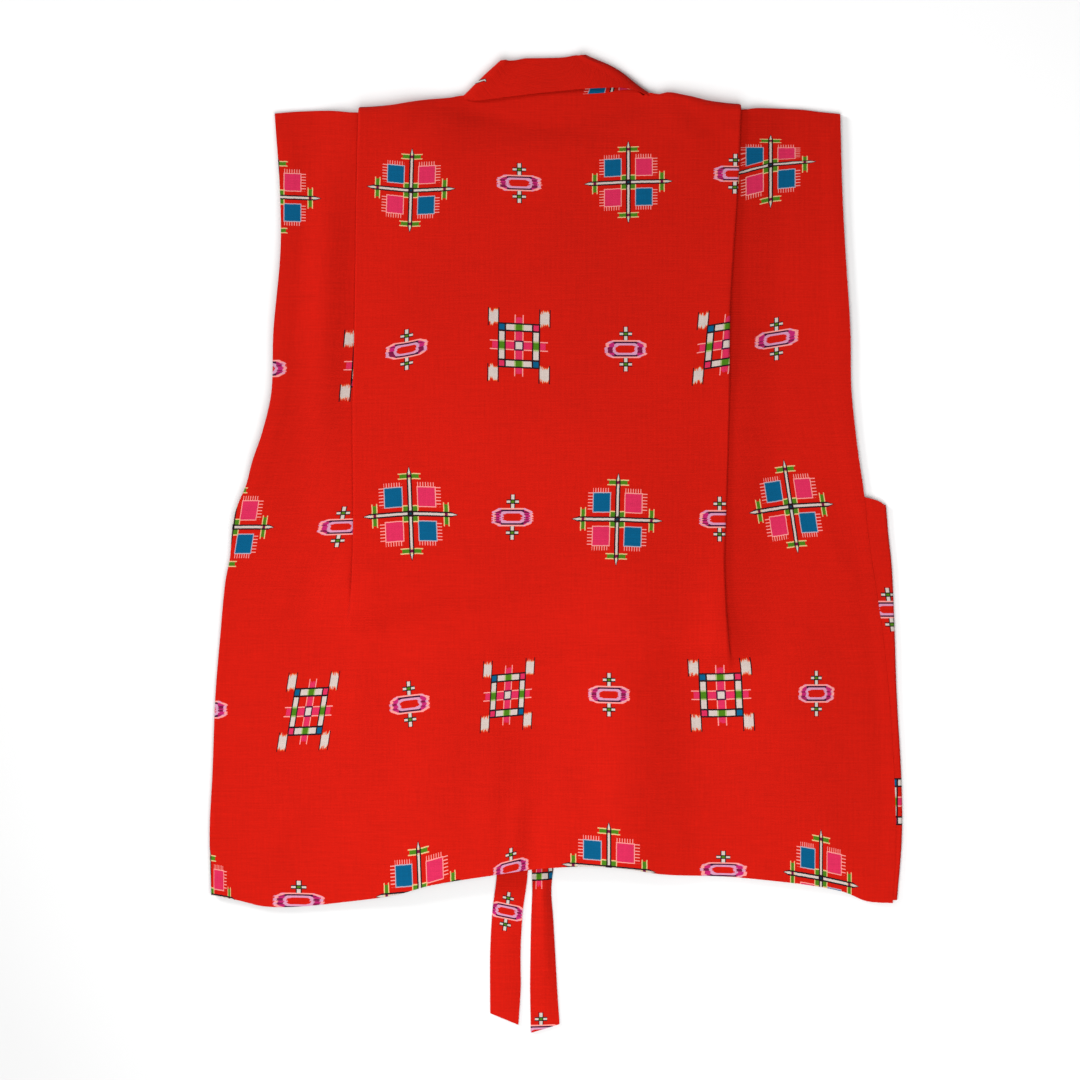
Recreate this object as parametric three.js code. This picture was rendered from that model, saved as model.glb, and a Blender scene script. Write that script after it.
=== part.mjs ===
// A child's sleeveless kimono vest laid flat on its front, back side up.
// Millimetres, +Z up. The origin is under the middle of the laid garment, +Y points to the collar.
// Every piece is a wall of cloth: a grid of middle points, moved half the wall to each side along
// the local normal and closed round its rim. Layers that lie on each other are one PITCH apart.
import * as THREE from "three";

// ---------- driving sizes ----------
const CLOTH = 1.0; // wall of one layer of cloth
const GAP = 0.35; // air between layers and at seams
const PITCH = CLOTH + GAP; // middle of one layer to the middle of the next
const RIM = CLOTH / 2; // middle of a wall to its face
const SEAM = 0.28; // half the space between front and back where they meet at the shoulder fold

const LENGTH = 395; // shoulder fold to hem, down the side
const ARMHOLE = 192; // shoulder fold to the bottom of the armhole
const NECK_HALF = 46; // half the neck opening
const NECK_LIP = 2; // depth of the flat edge along the back neckline
const NECK_STEP = 2; // width in which the neckline steps up to the shoulder fold
const NECK_BLEND = 9; // width in which the back's flat edge becomes the turned shoulder fold
const ARMHOLE_INSET = 0.8; // the right front's armhole edge lies this far inside the back's
const FRONT_LIFT = 6; // how much shorter the fronts lie than the back in the middle
const SIDE_LIFT = 1.5; // and at the sides

const COLLAR = 20.5; // folded width of the collar
const COLLAR_OVERLAP = 1.2; // the collar's free edge past its seam
const FRONT_EDGE = 22; // collar seam to the garment's middle line, from chest to hem
const CHEST = 125; // shoulder to where the front edge turns straight down

const TIE = 14.6; // width of a tie
const TIE_THICK = 1.2;
const TIE_TOP = 45; // height at which the ties are sewn on
const TIE_LIFT = TIE_THICK + GAP; // how far the ties raise what lies on them
const LEVEL = 2; // cloth that stays level past the edge of a tie or the collar
const SPREAD = 20; // cloth beyond that, which comes down to what it lies on

const FLAP = 25; // cloth beside a tuck that comes down to what it lies on
const SETTLE = 35; // the same on the tuck's inner side
const TURN_STEPS = 4; // facets round a fold

// ---------- tables ----------
// Side edges, by distance below the shoulder fold.
const SIDES = [
  { down: 0, left: -140.5, right: 141.5 },
  { down: 38, left: -137.8, right: 143 },
  { down: 68, left: -137.5, right: 144.5 },
  { down: 108, left: -141, right: 147 },
  { down: 138, left: -142, right: 147.5 },
  { down: 158, left: -146.5, right: 149.4 },
  { down: 178, left: -153.5, right: 152 },
  { down: 192, left: -157.3, right: 154.2 },
  { down: 208, left: -161, right: 155.5 },
  { down: 228, left: -164, right: 158.5 },
  { down: 258, left: -168, right: 163 },
  { down: 293, left: -170.3, right: 166.5 },
  { down: 333, left: -171.6, right: 169 },
  { down: 363, left: -173, right: 169.8 },
  { down: 395, left: -172.2, right: 168.2 },
];
// The fold where the right front wraps round to the back, below the armhole.
const WRAP = [
  { down: 192, fold: 165 },
  { down: 208, fold: 166 },
  { down: 228, fold: 168 },
  { down: 258, fold: 169.3 },
  { down: 293, fold: 170.5 },
  { down: 333, fold: 172.7 },
  { down: 363, fold: 173 },
  { down: 395, fold: 170.6 },
];
// Shoulder tucks: the fold's edge, how deep the cloth runs under it, and how far it is turned over
// (1 is folded flat, 0 is smooth cloth).
const TUCKS = {
  left: [
    { down: 0, edge: -98.8, depth: 20, turn: 1 },
    { down: 38, edge: -99.7, depth: 20, turn: 1 },
    { down: 118, edge: -101, depth: 20, turn: 1 },
    { down: 143, edge: -101.7, depth: 16.5, turn: 1 },
    { down: 165, edge: -101.7, depth: 12, turn: 1 },
    { down: 200, edge: -101.4, depth: 7.5, turn: 1 },
    { down: 222, edge: -101.8, depth: 4, turn: 1 },
    { down: 245, edge: -103.5, depth: 1.5, turn: 0.7 },
    { down: 275, edge: -105, depth: 0.5, turn: 0 },
    { down: 395, edge: -107, depth: 0.5, turn: 0 },
  ],
  right: [
    { down: 0, edge: 92.5, depth: 17, turn: 1 },
    { down: 38, edge: 91, depth: 17, turn: 1 },
    { down: 93, edge: 87.5, depth: 17, turn: 1 },
    { down: 118, edge: 86.7, depth: 17, turn: 1 },
    { down: 143, edge: 86.8, depth: 14.5, turn: 1 },
    { down: 200, edge: 85.3, depth: 7.5, turn: 1 },
    { down: 232, edge: 84.2, depth: 4.5, turn: 1 },
    { down: 255, edge: 84.9, depth: 2.2, turn: 1 },
    { down: 272, edge: 85.8, depth: 1, turn: 0.6 },
    { down: 292, edge: 86, depth: 0.5, turn: 0 },
    { down: 395, edge: 86, depth: 0.5, turn: 0 },
  ],
};
// The shoulder fold across the garment, for two plain layers.
const SHOULDER = [
  { x: -141, y: 215 },
  { x: -128, y: 216 },
  { x: -113, y: 216.3 },
  { x: -99, y: 215.3 },
  { x: -80, y: 216.8 },
  { x: -60, y: 220.8 },
  { x: -46, y: 224 },
  { x: 46, y: 224.5 },
  { x: 55, y: 224 },
  { x: 65, y: 221.6 },
  { x: 76, y: 218.7 },
  { x: 93, y: 216.8 },
  { x: 110, y: 217 },
  { x: 125, y: 216.5 },
  { x: 142, y: 214.5 },
];
// The back's neckline, to which the collar is sewn.
const NECKLINE = [
  { x: -44, y: 221.2 },
  { x: -38, y: 222.4 },
  { x: -26, y: 223 },
  { x: -12, y: 223.6 },
  { x: 2, y: 224.2 },
  { x: 17, y: 224.6 },
  { x: 30, y: 225.2 },
  { x: 38, y: 225.1 },
  { x: 41, y: 224.4 },
  { x: 44, y: 222.6 },
];
// The back's hem across the garment.
const HEM = [
  { x: -173, y: -175.5 },
  { x: -158, y: -178.4 },
  { x: -145.5, y: -181.3 },
  { x: -128, y: -181.3 },
  { x: -105.5, y: -179 },
  { x: -80.5, y: -175.5 },
  { x: -63, y: -170.6 },
  { x: -35.5, y: -166 },
  { x: -10.5, y: -162.5 },
  { x: 14.5, y: -161 },
  { x: 34.5, y: -162.2 },
  { x: 54.5, y: -165.2 },
  { x: 84.5, y: -166.3 },
  { x: 109.5, y: -168.5 },
  { x: 129.5, y: -171 },
  { x: 144.5, y: -174.2 },
  { x: 155, y: -178.6 },
  { x: 170, y: -179.7 },
];
// Soft ridges of the back: the middle, half the width and length, the lean from upright, the height.
const RIDGES = [
  { x: -28, y: -120, wide: 16, long: 62, lean: 4, high: 2.0 },
  { x: 12, y: -140, wide: 12, long: 48, lean: -3, high: 1.5 },
  { x: -118, y: -95, wide: 26, long: 85, lean: 6, high: 2.2 },
  { x: -72, y: -60, wide: 20, long: 80, lean: 2, high: 1.5 },
  { x: 62, y: -95, wide: 24, long: 80, lean: -4, high: 1.9 },
  { x: 122, y: -60, wide: 20, long: 90, lean: -5, high: 1.8 },
  { x: 20, y: 60, wide: 30, long: 110, lean: 2, high: 1.4 },
  { x: -45, y: 95, wide: 22, long: 90, lean: -2, high: 1.1 },
  { x: 118, y: 120, wide: 12, long: 70, lean: 3, high: 1.0 },
  { x: -122, y: 95, wide: 11, long: 75, lean: -3, high: 1.0 },
];
const RIDGE_TAPER = 1.4; // a ridge's half length, tapers included, against its stated one
const RIDGE_START = 60; // length in which the ridges grow from the shoulder fold down
const RIDGE_MARGIN = 14; // width in which they grow from the side edges in
// The ties: middle line, width as seen, and how far the middle arches up off the surface.
const TIES = {
  left: [
    { y: 45, x: -11, width: TIE, arch: 0 },
    { y: -20, x: -15.5, width: TIE, arch: 0 },
    { y: -100, x: -20, width: TIE, arch: 0 },
    { y: -165, x: -21.9, width: 15.4, arch: 0.1 },
    { y: -184, x: -24.2, width: 15.1, arch: 0.5 },
    { y: -204, x: -25.3, width: 15, arch: 0.8 },
    { y: -222, x: -25.3, width: 15.2, arch: 0.5 },
    { y: -240.5, x: -25.8, width: 14, arch: 0.1 },
  ],
  right: [
    { y: 45, x: 11, width: TIE, arch: 0 },
    { y: -20, x: 5.5, width: TIE, arch: 0 },
    { y: -100, x: -2, width: TIE, arch: 0 },
    { y: -146, x: -5.6, width: 13.6, arch: 0 },
    { y: -158, x: -6.4, width: 11.5, arch: 0 },
    { y: -172, x: -7.1, width: 8.8, arch: 3.4 },
    { y: -188, x: -6.9, width: 10.4, arch: 3 },
    { y: -204, x: -6.6, width: 11.8, arch: 2.4 },
    { y: -222, x: -6.2, width: 13.2, arch: 1.2 },
    { y: -241, x: -5.4, width: 14.4, arch: 0.2 },
  ],
};
// How far each tie's end is cut below its last row, at its left and right edge.
const TIE_ENDS = { left: [-6.2, -0.4], right: [3.6, -0.8] };

// ---------- small helpers ----------
const mix = (a, b, t) => a + (b - a) * t;
const clamp01 = (t) => Math.min(1, Math.max(0, t));
const smooth = (t) => {
  const c = clamp01(t);
  return c * c * (3 - 2 * c);
};
const steps = (n) => Array.from({ length: n + 1 }, (_, k) => k / n);
const radians = (degrees) => (degrees * Math.PI) / 180;

// The value of a table's column at a place: a cubic through the rows, held past the ends.
function along(rows, by, column, at) {
  const last = rows.length - 1;
  const rising = rows[last][by] > rows[0][by] ? 1 : -1;
  const place = (k) => rising * rows[k][by];
  const value = (k) => rows[k][column];
  const goal = rising * at;
  if (goal <= place(0)) return value(0);
  if (goal >= place(last)) return value(last);
  let k = 0;
  while (place(k + 1) < goal) k++;
  const slope = (i) => {
    const a = Math.max(i - 1, 0);
    const b = Math.min(i + 1, last);
    return (value(b) - value(a)) / (place(b) - place(a));
  };
  const span = place(k + 1) - place(k);
  const t = (goal - place(k)) / span;
  const bend = (value(k + 1) - value(k)) / span;
  return (
    value(k) +
    span * t * (bend + (1 - t) * ((slope(k) - bend) * (1 - t) - (slope(k + 1) - bend) * t))
  );
}

// A closed wall round a grid of middle points. grid[i][j] is a Vector3, or null where the cloth is
// cut away; faceUp says which side of the cloth a row-then-column cell shows.
function wall(name, grid, thick, faceUp, material) {
  const rows = grid.length;
  const columns = grid[0].length;
  const whole = (i, j) =>
    i >= 0 &&
    j >= 0 &&
    i < rows - 1 &&
    j < columns - 1 &&
    grid[i][j] &&
    grid[i + 1][j] &&
    grid[i][j + 1] &&
    grid[i + 1][j + 1];
  const normals = grid.map((row) => row.map(() => new THREE.Vector3()));
  for (let i = 0; i < rows - 1; i++)
    for (let j = 0; j < columns - 1; j++) {
      if (!whole(i, j)) continue;
      const across = new THREE.Vector3().subVectors(grid[i + 1][j + 1], grid[i][j]);
      const down = new THREE.Vector3().subVectors(grid[i + 1][j], grid[i][j + 1]);
      const normal = across.cross(down).normalize();
      for (const [di, dj] of [[0, 0], [0, 1], [1, 0], [1, 1]]) normals[i + di][j + dj].add(normal);
    }
  const points = [];
  const index = grid.map((row, i) =>
    row.map((middle, j) => {
      if (!middle) return null;
      const normal = normals[i][j].normalize().multiplyScalar((faceUp * thick) / 2);
      points.push(middle.clone().add(normal), middle.clone().sub(normal));
      return points.length - 2;
    }),
  );
  const faces = [];
  const quad = (a, b, c, d) => {
    if (faceUp > 0) faces.push(a, b, c, a, c, d);
    else faces.push(a, c, b, a, d, c);
  };
  for (let i = 0; i < rows - 1; i++)
    for (let j = 0; j < columns - 1; j++) {
      if (!whole(i, j)) continue;
      const [a, b] = [index[i][j], index[i + 1][j]];
      const [c, d] = [index[i + 1][j + 1], index[i][j + 1]];
      quad(a, d, c, b);
      quad(a + 1, b + 1, c + 1, d + 1);
      if (!whole(i - 1, j)) quad(a, a + 1, d + 1, d);
      if (!whole(i + 1, j)) quad(c, c + 1, b + 1, b);
      if (!whole(i, j - 1)) quad(b, b + 1, a + 1, a);
      if (!whole(i, j + 1)) quad(d, d + 1, c + 1, c);
    }
  const geometry = new THREE.BufferGeometry().setFromPoints(points);
  geometry.setIndex(faces);
  geometry.computeVertexNormals();
  const mesh = new THREE.Mesh(geometry, material);
  mesh.name = name;
  return mesh;
}

// ---------- the garment's shape ----------
const side = (down, key) => along(SIDES, "down", key, down);
const wrapFold = (down) => along(WRAP, "down", "fold", down) - RIM;
const hemY = (x) => along(HEM, "x", "y", x);
const neckLine = (x) => along(NECKLINE, "x", "y", x);
const shoulderShare = (x) => smooth((Math.abs(x) - NECK_HALF + NECK_STEP) / NECK_STEP);
const turnShare = (x) => smooth((Math.abs(x) - NECK_HALF + NECK_STEP) / NECK_BLEND);
// The axis of the shoulder fold; across the neck, the foot of the flat edge along the neckline.
const axisY = (x) =>
  mix(neckLine(x) - NECK_LIP, along(SHOULDER, "x", "y", x) - PITCH / 2 - RIM, shoulderShare(x));
const frontHemY = (x) => hemY(x) + mix(FRONT_LIFT, SIDE_LIFT, smooth((Math.abs(x) - FRONT_EDGE) / 70));

// Where the collar is sewn to the front's edge: straight from hem to chest, then out to the neck.
const shoulderY = along(SHOULDER, "x", "y", NECK_HALF);
const frontEdge = (y) => mix(NECK_HALF, FRONT_EDGE, smooth((shoulderY - y) / CHEST));

// How far a place is over the collar (1), or clear of it (0).
const overCollar = (x, y) => 1 - smooth((Math.abs(x) - frontEdge(y) - LEVEL) / SPREAD);

// How far the two ties under the garment raise it.
function tieLift(x, y) {
  const left = along(TIES.left, "y", "x", y) - TIE / 2;
  const right = along(TIES.right, "y", "x", y) + TIE / 2;
  const past = Math.max(left - x, x - right, y - TIE_TOP, 0);
  return TIE_LIFT * smooth(1 - (past - LEVEL) / SPREAD);
}

// A point of what lies on the ties, raised by them.
function raised(x, y, z) {
  return new THREE.Vector3(x, y, z + tieLift(x, y));
}

// The path of one tuck in its own plane, from the armhole side to the middle. run is across the
// garment towards the middle, up is through the layers; the fold's edge is at run 0.
function tuckPath(tuck, down) {
  const depth = along(tuck, "down", "depth", down);
  const turn = Math.PI * clamp01(along(tuck, "down", "turn", down));
  const chord = PITCH * Math.sin(Math.PI / TURN_STEPS / 2);
  const straight = Math.max(depth - PITCH, 0.5) / 2;
  const arc = steps(TURN_STEPS - 1).map((t) => ({
    length: chord,
    angle: (turn * mix(0.5, TURN_STEPS - 0.5, t)) / TURN_STEPS,
  }));
  const between = { length: straight, angle: turn };
  const path = [{ run: 0, up: 0 }];
  for (const { length, angle } of [...arc, between, between, ...[...arc].reverse()]) {
    const from = path.at(-1);
    path.push({ run: from.run + length * Math.cos(angle), up: from.up + length * Math.sin(angle) });
  }
  const edge = path.at(-1 - TURN_STEPS / 2).run - RIM * Math.sin(turn / 2);
  return {
    edge: along(tuck, "down", "edge", down),
    step: path.at(-1).up,
    depth: path[TURN_STEPS / 2].run - edge,
    points: path.map(({ run, up }) => ({ run: run - edge, up })),
  };
}

// How much of a tuck's step shows at x: all of it over the tuck, less on each side of it.
function tuckShare(tuck, sign, x) {
  const inward = -sign * (x - tuck.edge);
  return smooth((inward + FLAP) / FLAP) * (1 - smooth((inward - tuck.depth) / SETTLE));
}

// Everything a row of the body needs, worked out once from its distance below the shoulder.
function bodyRow(down) {
  const left = tuckPath(TUCKS.left, down);
  const right = tuckPath(TUCKS.right, down);
  const lift = (x) => left.step * tuckShare(left, -1, x) + right.step * tuckShare(right, 1, x);
  return { down, left, right, lift };
}

// Ridges die out towards the shoulder fold, so that front and back meet there.
function loft(x, y, down) {
  let height = 0;
  for (const r of RIDGES) {
    const lean = radians(r.lean);
    const across = (x - r.x) * Math.cos(lean) - (y - r.y) * Math.sin(lean);
    const length = (x - r.x) * Math.sin(lean) + (y - r.y) * Math.cos(lean);
    const profile = Math.exp(-((across / r.wide) ** 2));
    height += r.high * profile * (1 - smooth(Math.abs(length) / r.long / RIDGE_TAPER));
  }
  const edge = Math.min(x - side(down, "left"), side(down, "right") - x);
  return height * smooth(down / RIDGE_START) * smooth(edge / RIDGE_MARGIN);
}

// Middle heights of the fronts' lowest and topmost layers.
const ground = (x, y) => RIM + PITCH * overCollar(x, y);
const frontTop = (row, x, y) => ground(x, y) + row.lift(x);

// A point of the body from its row, its place across and its height above the layers' middle.
// turn 0 is the flat cloth; up to 1 it goes round the shoulder fold (face -1 is the front).
function bodyPoint(row, x, share, above, turn, face) {
  const hem = face > 0 ? hemY(x) : frontHemY(x);
  const y = mix(axisY(x), hem, share);
  const middle = frontTop(row, x, y) + PITCH / 2;
  const lofted = face > 0 ? loft(x, y, row.down) : 0;
  const radius = PITCH / 2 + above;
  const turned = face > 0 ? turnShare(x) : 1;
  const bend = ((turn * Math.PI) / 2) * turned;
  const lip = turn * NECK_LIP * (1 - turned);
  const height = mix(SEAM, radius, Math.cos(bend)) + lofted;
  return raised(x, y + lip + radius * Math.sin(bend), middle + face * height);
}

// Rows from the shoulder fold to the hem. turn counts down round the fold, share runs down the cloth.
const TURN_ROWS = [1, 0.86, 0.45];
const BODY_DOWN = [
  0, 10, 30, 56, 84, 108, 128, 146, 162, 174, 184, ARMHOLE, 204, 218, 232, 246, 260, 276, 296, 318,
  342, 364, 382, LENGTH,
];
const ROWS = [
  ...TURN_ROWS.map((turn) => ({ down: 0, turn })),
  ...BODY_DOWN.map((down) => ({ down, turn: 0 })),
].map(({ down, turn }) => ({ turn, ...bodyRow(down) }));

// Columns are shared by the back and the fronts, so that their facets lie on each other.
const SIDE_COLUMNS = 5; // side edge to tuck
const FRONT_COLUMNS = 6; // tuck to the front's inner edge
const CENTRE_COLUMNS = 6; // between the fronts' inner edges
const frontInner = (share, sign) =>
  sign * (frontEdge(mix(axisY(sign * NECK_HALF), frontHemY(sign * FRONT_EDGE), share)) + GAP / 2);

function backGrid() {
  return ROWS.map((row) => {
    const share = row.down / LENGTH;
    const put = (x, above) => bodyPoint(row, x, share, above, row.turn, 1);
    const leftEdge = side(row.down, "left");
    const rightEdge = side(row.down, "right");
    const leftX = ({ run }) => row.left.edge + run;
    const rightX = ({ run }) => row.right.edge - run;
    const settled = (x) =>
      row.left.step * (1 - smooth((x - row.left.edge - row.left.depth) / SETTLE)) +
      row.right.step * (1 - smooth((row.right.edge - row.right.depth - x) / SETTLE));
    const leftStart = leftX(row.left.points[0]);
    const rightStart = rightX(row.right.points[0]);
    const leftEnd = leftX(row.left.points.at(-1));
    const rightEnd = rightX(row.right.points.at(-1));
    const edges = [frontInner(share, -1), frontInner(share, 1)];
    const line = [];
    for (const t of steps(SIDE_COLUMNS).slice(0, -1)) line.push(put(mix(leftEdge, leftStart, t), 0));
    for (const point of row.left.points.slice(0, -1)) line.push(put(leftX(point), point.up));
    const middle = [
      ...steps(FRONT_COLUMNS).map((t) => mix(leftEnd, edges[0], t)),
      ...steps(CENTRE_COLUMNS).map((t) => mix(edges[0] + NECK_STEP, edges[1] - NECK_STEP, t)),
      ...steps(FRONT_COLUMNS).map((t) => mix(edges[1], rightEnd, t)),
    ];
    for (const x of middle) line.push(put(x, settled(x)));
    for (const point of [...row.right.points].reverse().slice(1)) line.push(put(rightX(point), point.up));
    for (const t of steps(SIDE_COLUMNS).slice(1)) line.push(put(mix(rightStart, rightEdge, t), 0));
    return line;
  });
}

// The right front's columns that wrap round to the back, which start at the foot of the armhole:
// the strip on the back, the turn, and the stretch from the turn to the armhole's edge.
const STRIP_COLUMNS = 2;
const REACH_COLUMNS = 2;
const WRAP_DROP = 4; // how much lower the strip starts at its fold than at its seam
function wrapColumns(row, outer, put) {
  const fold = wrapFold(row.down) - PITCH / 2;
  const seam = side(row.down, "right") + GAP;
  const base = put(fold, 0);
  const drop = row.down === ARMHOLE ? WRAP_DROP : 0;
  const dropped = (x) => base.y - drop * clamp01((x - seam) / (fold - seam));
  const turned = steps(TURN_STEPS).map((t) => ({
    x: fold + (PITCH / 2) * Math.sin(Math.PI * t),
    up: (PITCH / 2) * (1 + Math.cos(Math.PI * t)),
  }));
  const points = [
    ...steps(STRIP_COLUMNS).slice(0, -1).map((t) => ({ x: mix(seam, fold, t), up: PITCH })),
    ...turned.slice(0, -1),
    ...steps(REACH_COLUMNS).slice(0, -1).map((t) => ({ x: mix(fold, outer, t), up: 0 })),
  ].map(({ x, up }) => new THREE.Vector3(x, dropped(x), base.z + up));
  return points.map((point) => (row.down >= ARMHOLE ? point : null));
}

// One front: sign -1 is the wearer's left one.
function frontGrid(sign) {
  const key = sign < 0 ? "left" : "right";
  return ROWS.map((row) => {
    const share = row.down / LENGTH;
    const tuck = row[key];
    const put = (x, above) => bodyPoint(row, x, share, above, row.turn, -1);
    const tuckX = ({ run }) => tuck.edge - sign * run;
    const inner = frontInner(share, sign) + sign * row.turn * GAP;
    const outer = side(row.down, key) - Math.max(sign, 0) * ARMHOLE_INSET;
    const line = [];
    if (sign > 0) line.push(...wrapColumns(row, outer, put));
    for (const t of steps(SIDE_COLUMNS).slice(0, -1)) line.push(put(mix(outer, tuckX(tuck.points[0]), t), 0));
    for (const point of tuck.points) line.push(put(tuckX(point), point.up));
    const start = tuckX(tuck.points.at(-1));
    for (const t of steps(FRONT_COLUMNS).slice(1)) {
      const x = mix(start, inner, t);
      line.push(put(x, row.lift(x)));
    }
    return line;
  });
}

// ---------- collar ----------
// One band from hem to hem round the neck. Each station is a section from the seam to the fold and
// back: roll is the outward side (0 up, 180 down), and past is how far the free edge passes the seam.
const COLLAR_COLUMNS = 3;
function collarSection({ seam, fold, z, roll = 0, dip = 0, past }) {
  const toFold = new THREE.Vector3(fold.x - seam.x, fold.y - seam.y, 0);
  const width = toFold.length();
  toFold.divideScalar(width);
  const sideways = new THREE.Vector3(-toFold.y, toFold.x, 0);
  if (sideways.y < 0) sideways.negate();
  const angle = radians(roll);
  const out = new THREE.Vector3(0, 0, Math.cos(angle)).addScaledVector(sideways, Math.sin(angle));
  toFold.z = -dip;
  toFold.normalize();
  const start = new THREE.Vector3(seam.x, seam.y, z).addScaledVector(out, PITCH / 2);
  const at = (run, up) => {
    const point = start.clone().addScaledVector(toFold, run).addScaledVector(out, up);
    return raised(point.x, point.y, point.z);
  };
  const flat = width - PITCH / 2 - RIM - CORNER_TRIM * Math.abs(Math.sin(angle));
  return [
    ...steps(COLLAR_COLUMNS).slice(0, -1).map((t) => at(flat * t, 0)),
    ...steps(TURN_STEPS).map((t) => {
      const turned = Math.PI * t;
      return at(flat + (PITCH / 2) * Math.sin(turned), (PITCH / 2) * (1 - Math.cos(turned)));
    }),
    ...steps(COLLAR_COLUMNS).slice(1).map((t) => at(mix(flat, -past, t), PITCH)),
  ];
}

// Stations down each front share the body's rows: all of them on the chest, every second one below.
const FRONT_STATIONS = BODY_DOWN.filter((down, k) => down < ARMHOLE || k % 2 === 1).slice(1).reverse();
const CORNER_FAN = 28; // length in which the fold swings up to the neck corner
const CORNER_ROLLS = [180, 140, 90, 40, 0];
const CORNER_TRIM = 1.6; // how much shorter the section is where it turns over the corner
const CORNERS = {
  left: { seam: { x: -44, y: 223 }, fold: { x: -24.6, y: 241.25 }, past: -1 },
  right: { seam: { x: 44, y: 224.2 }, fold: { x: 11.5, y: 243.75 }, past: -1.5 },
};
// Stations along the nape: the seam's x, the fold's place, and how far the free edge runs past the
// seam, or stops short of it.
const NAPE = [
  { seam: -40, x: -23.2, y: 241.2, past: 1.3 },
  { seam: -32, x: -20, y: 241.5, past: 1 },
  { seam: -22, x: -14.5, y: 242.6, past: -0.2 },
  { seam: -10, x: -7, y: 242.75, past: -1.1 },
  { seam: 3, x: 0, y: 242.9, past: -2 },
  { seam: 14, x: 4.5, y: 243.2, past: -3.2 },
  { seam: 24, x: 8, y: 243.6, past: -4 },
  { seam: 33, x: 10, y: 243.8, past: -4.5 },
  { seam: 39.5, x: 11, y: 243.8, past: -3.5 },
];
const NAPE_DIP = 0.1; // slope of the collar down from the nape to its fold

function frontStation(sign, down) {
  const corner = sign < 0 ? CORNERS.left : CORNERS.right;
  const inner = frontInner(down / LENGTH, sign);
  const x = inner - sign * GAP;
  const y = mix(axisY(inner), frontHemY(inner), down / LENGTH);
  const near = smooth((CORNER_FAN - down) / CORNER_FAN);
  return {
    seam: { x, y },
    fold: { x: mix(x - sign * COLLAR, corner.fold.x, near), y: mix(y, corner.fold.y, near) },
    z: ground(x, y) + PITCH / 2,
    roll: 180,
    past: mix(COLLAR_OVERLAP, corner.past, near),
  };
}

function collarGrid() {
  const z = RIM + PITCH * 1.5;
  const corner = (key, roll) => ({ ...CORNERS[key], z, roll });
  const nape = NAPE.map(({ seam, x, y, past }, k) => ({
    seam: { x: seam, y: neckLine(seam) + GAP },
    fold: { x, y },
    z,
    dip: NAPE_DIP * Math.sin((Math.PI * (k + 1)) / (NAPE.length + 1)),
    past,
  }));
  return [
    ...FRONT_STATIONS.map((down) => frontStation(-1, down)),
    ...CORNER_ROLLS.map((roll) => corner("left", roll)),
    ...nape,
    ...[...CORNER_ROLLS].reverse().map((roll) => corner("right", roll)),
    ...[...FRONT_STATIONS].reverse().map((down) => frontStation(1, down)),
  ].map(collarSection);
}

// ---------- ties ----------
const TIE_ROWS = [
  TIE_TOP, 12, -20, -60, -100, -130, -146, -158, -165, -172, -180, -188, -196, -204, -213, -222, -231, -241,
];
const TIE_COLUMNS = 6;
function tieGrid(key) {
  const rows = TIES[key];
  const cut = TIE_ENDS[key];
  return TIE_ROWS.map((place, k) =>
    steps(TIE_COLUMNS).map((s) => {
      const y = place - (k === TIE_ROWS.length - 1 ? mix(cut[0], cut[1], s) : 0);
      const width = along(rows, "y", "width", y);
      const arch = Math.max(along(rows, "y", "arch", y), 0) * Math.sin(Math.PI * s);
      return new THREE.Vector3(along(rows, "y", "x", y) + width * (s - 0.5), y, TIE_THICK / 2 + arch);
    }),
  );
}

// ---------- assembly ----------
const red = (roughness) =>
  new THREE.MeshStandardMaterial({ color: 0xd01a12, roughness, metalness: 0, side: THREE.DoubleSide });

const garment = new THREE.Group();
garment.add(
  wall("back", backGrid(), CLOTH, 1, red(0.9)),
  wall("front_left", frontGrid(-1), CLOTH, -1, red(0.9)),
  wall("front_right", frontGrid(1), CLOTH, 1, red(0.9)),
  wall("collar", collarGrid(), CLOTH, 1, red(0.88)),
  wall("tie_left", tieGrid("left"), TIE_THICK, 1, red(0.88)),
  wall("tie_right", tieGrid("right"), TIE_THICK, 1, red(0.88)),
);

export default garment;
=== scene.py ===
"""A child's sleeveless kimono vest, laid flat with its back up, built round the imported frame.

Shapes are worked out in millimetres, as arrays of the cloth's middle points (rows run down the
vest, columns across it), and become meshes in metres at the end. +Y points to the collar, +X to
the wearer's right and +Z up out of the vest's back.
"""

import math

import bpy
import numpy as np
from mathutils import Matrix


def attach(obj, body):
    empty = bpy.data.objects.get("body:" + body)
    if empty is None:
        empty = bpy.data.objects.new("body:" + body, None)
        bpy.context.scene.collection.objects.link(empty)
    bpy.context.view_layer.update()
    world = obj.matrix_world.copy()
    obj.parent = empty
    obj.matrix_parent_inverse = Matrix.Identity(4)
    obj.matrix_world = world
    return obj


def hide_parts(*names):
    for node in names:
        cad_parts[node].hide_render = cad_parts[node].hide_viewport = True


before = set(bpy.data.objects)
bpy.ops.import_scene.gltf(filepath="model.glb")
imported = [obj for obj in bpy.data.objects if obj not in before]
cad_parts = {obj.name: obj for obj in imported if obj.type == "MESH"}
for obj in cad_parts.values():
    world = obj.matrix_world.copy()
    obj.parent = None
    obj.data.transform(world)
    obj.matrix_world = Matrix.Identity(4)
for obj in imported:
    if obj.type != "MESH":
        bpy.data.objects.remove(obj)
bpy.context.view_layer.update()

MM = 0.001
HANDS = ((-1, "left"), (1, "right"))  # the sign of x on each side, and the side's name

# ---------- driving sizes, in millimetres ----------
LAYER = 0.35  # air between layers and at seams, in the frame
PITCH = 1.35  # middle of one layer to the middle of the next
RIM = 0.5  # middle of a layer to its face, in the frame
SEWN = -0.15  # between two sewn edges: they meet
SEAM = 0.28  # half the space between front and back at the shoulder fold
CLOTH = 0.7  # thickness of the cloth as shown
TIE_CLOTH = 1.0  # thickness of a sewn tie as shown

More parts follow.
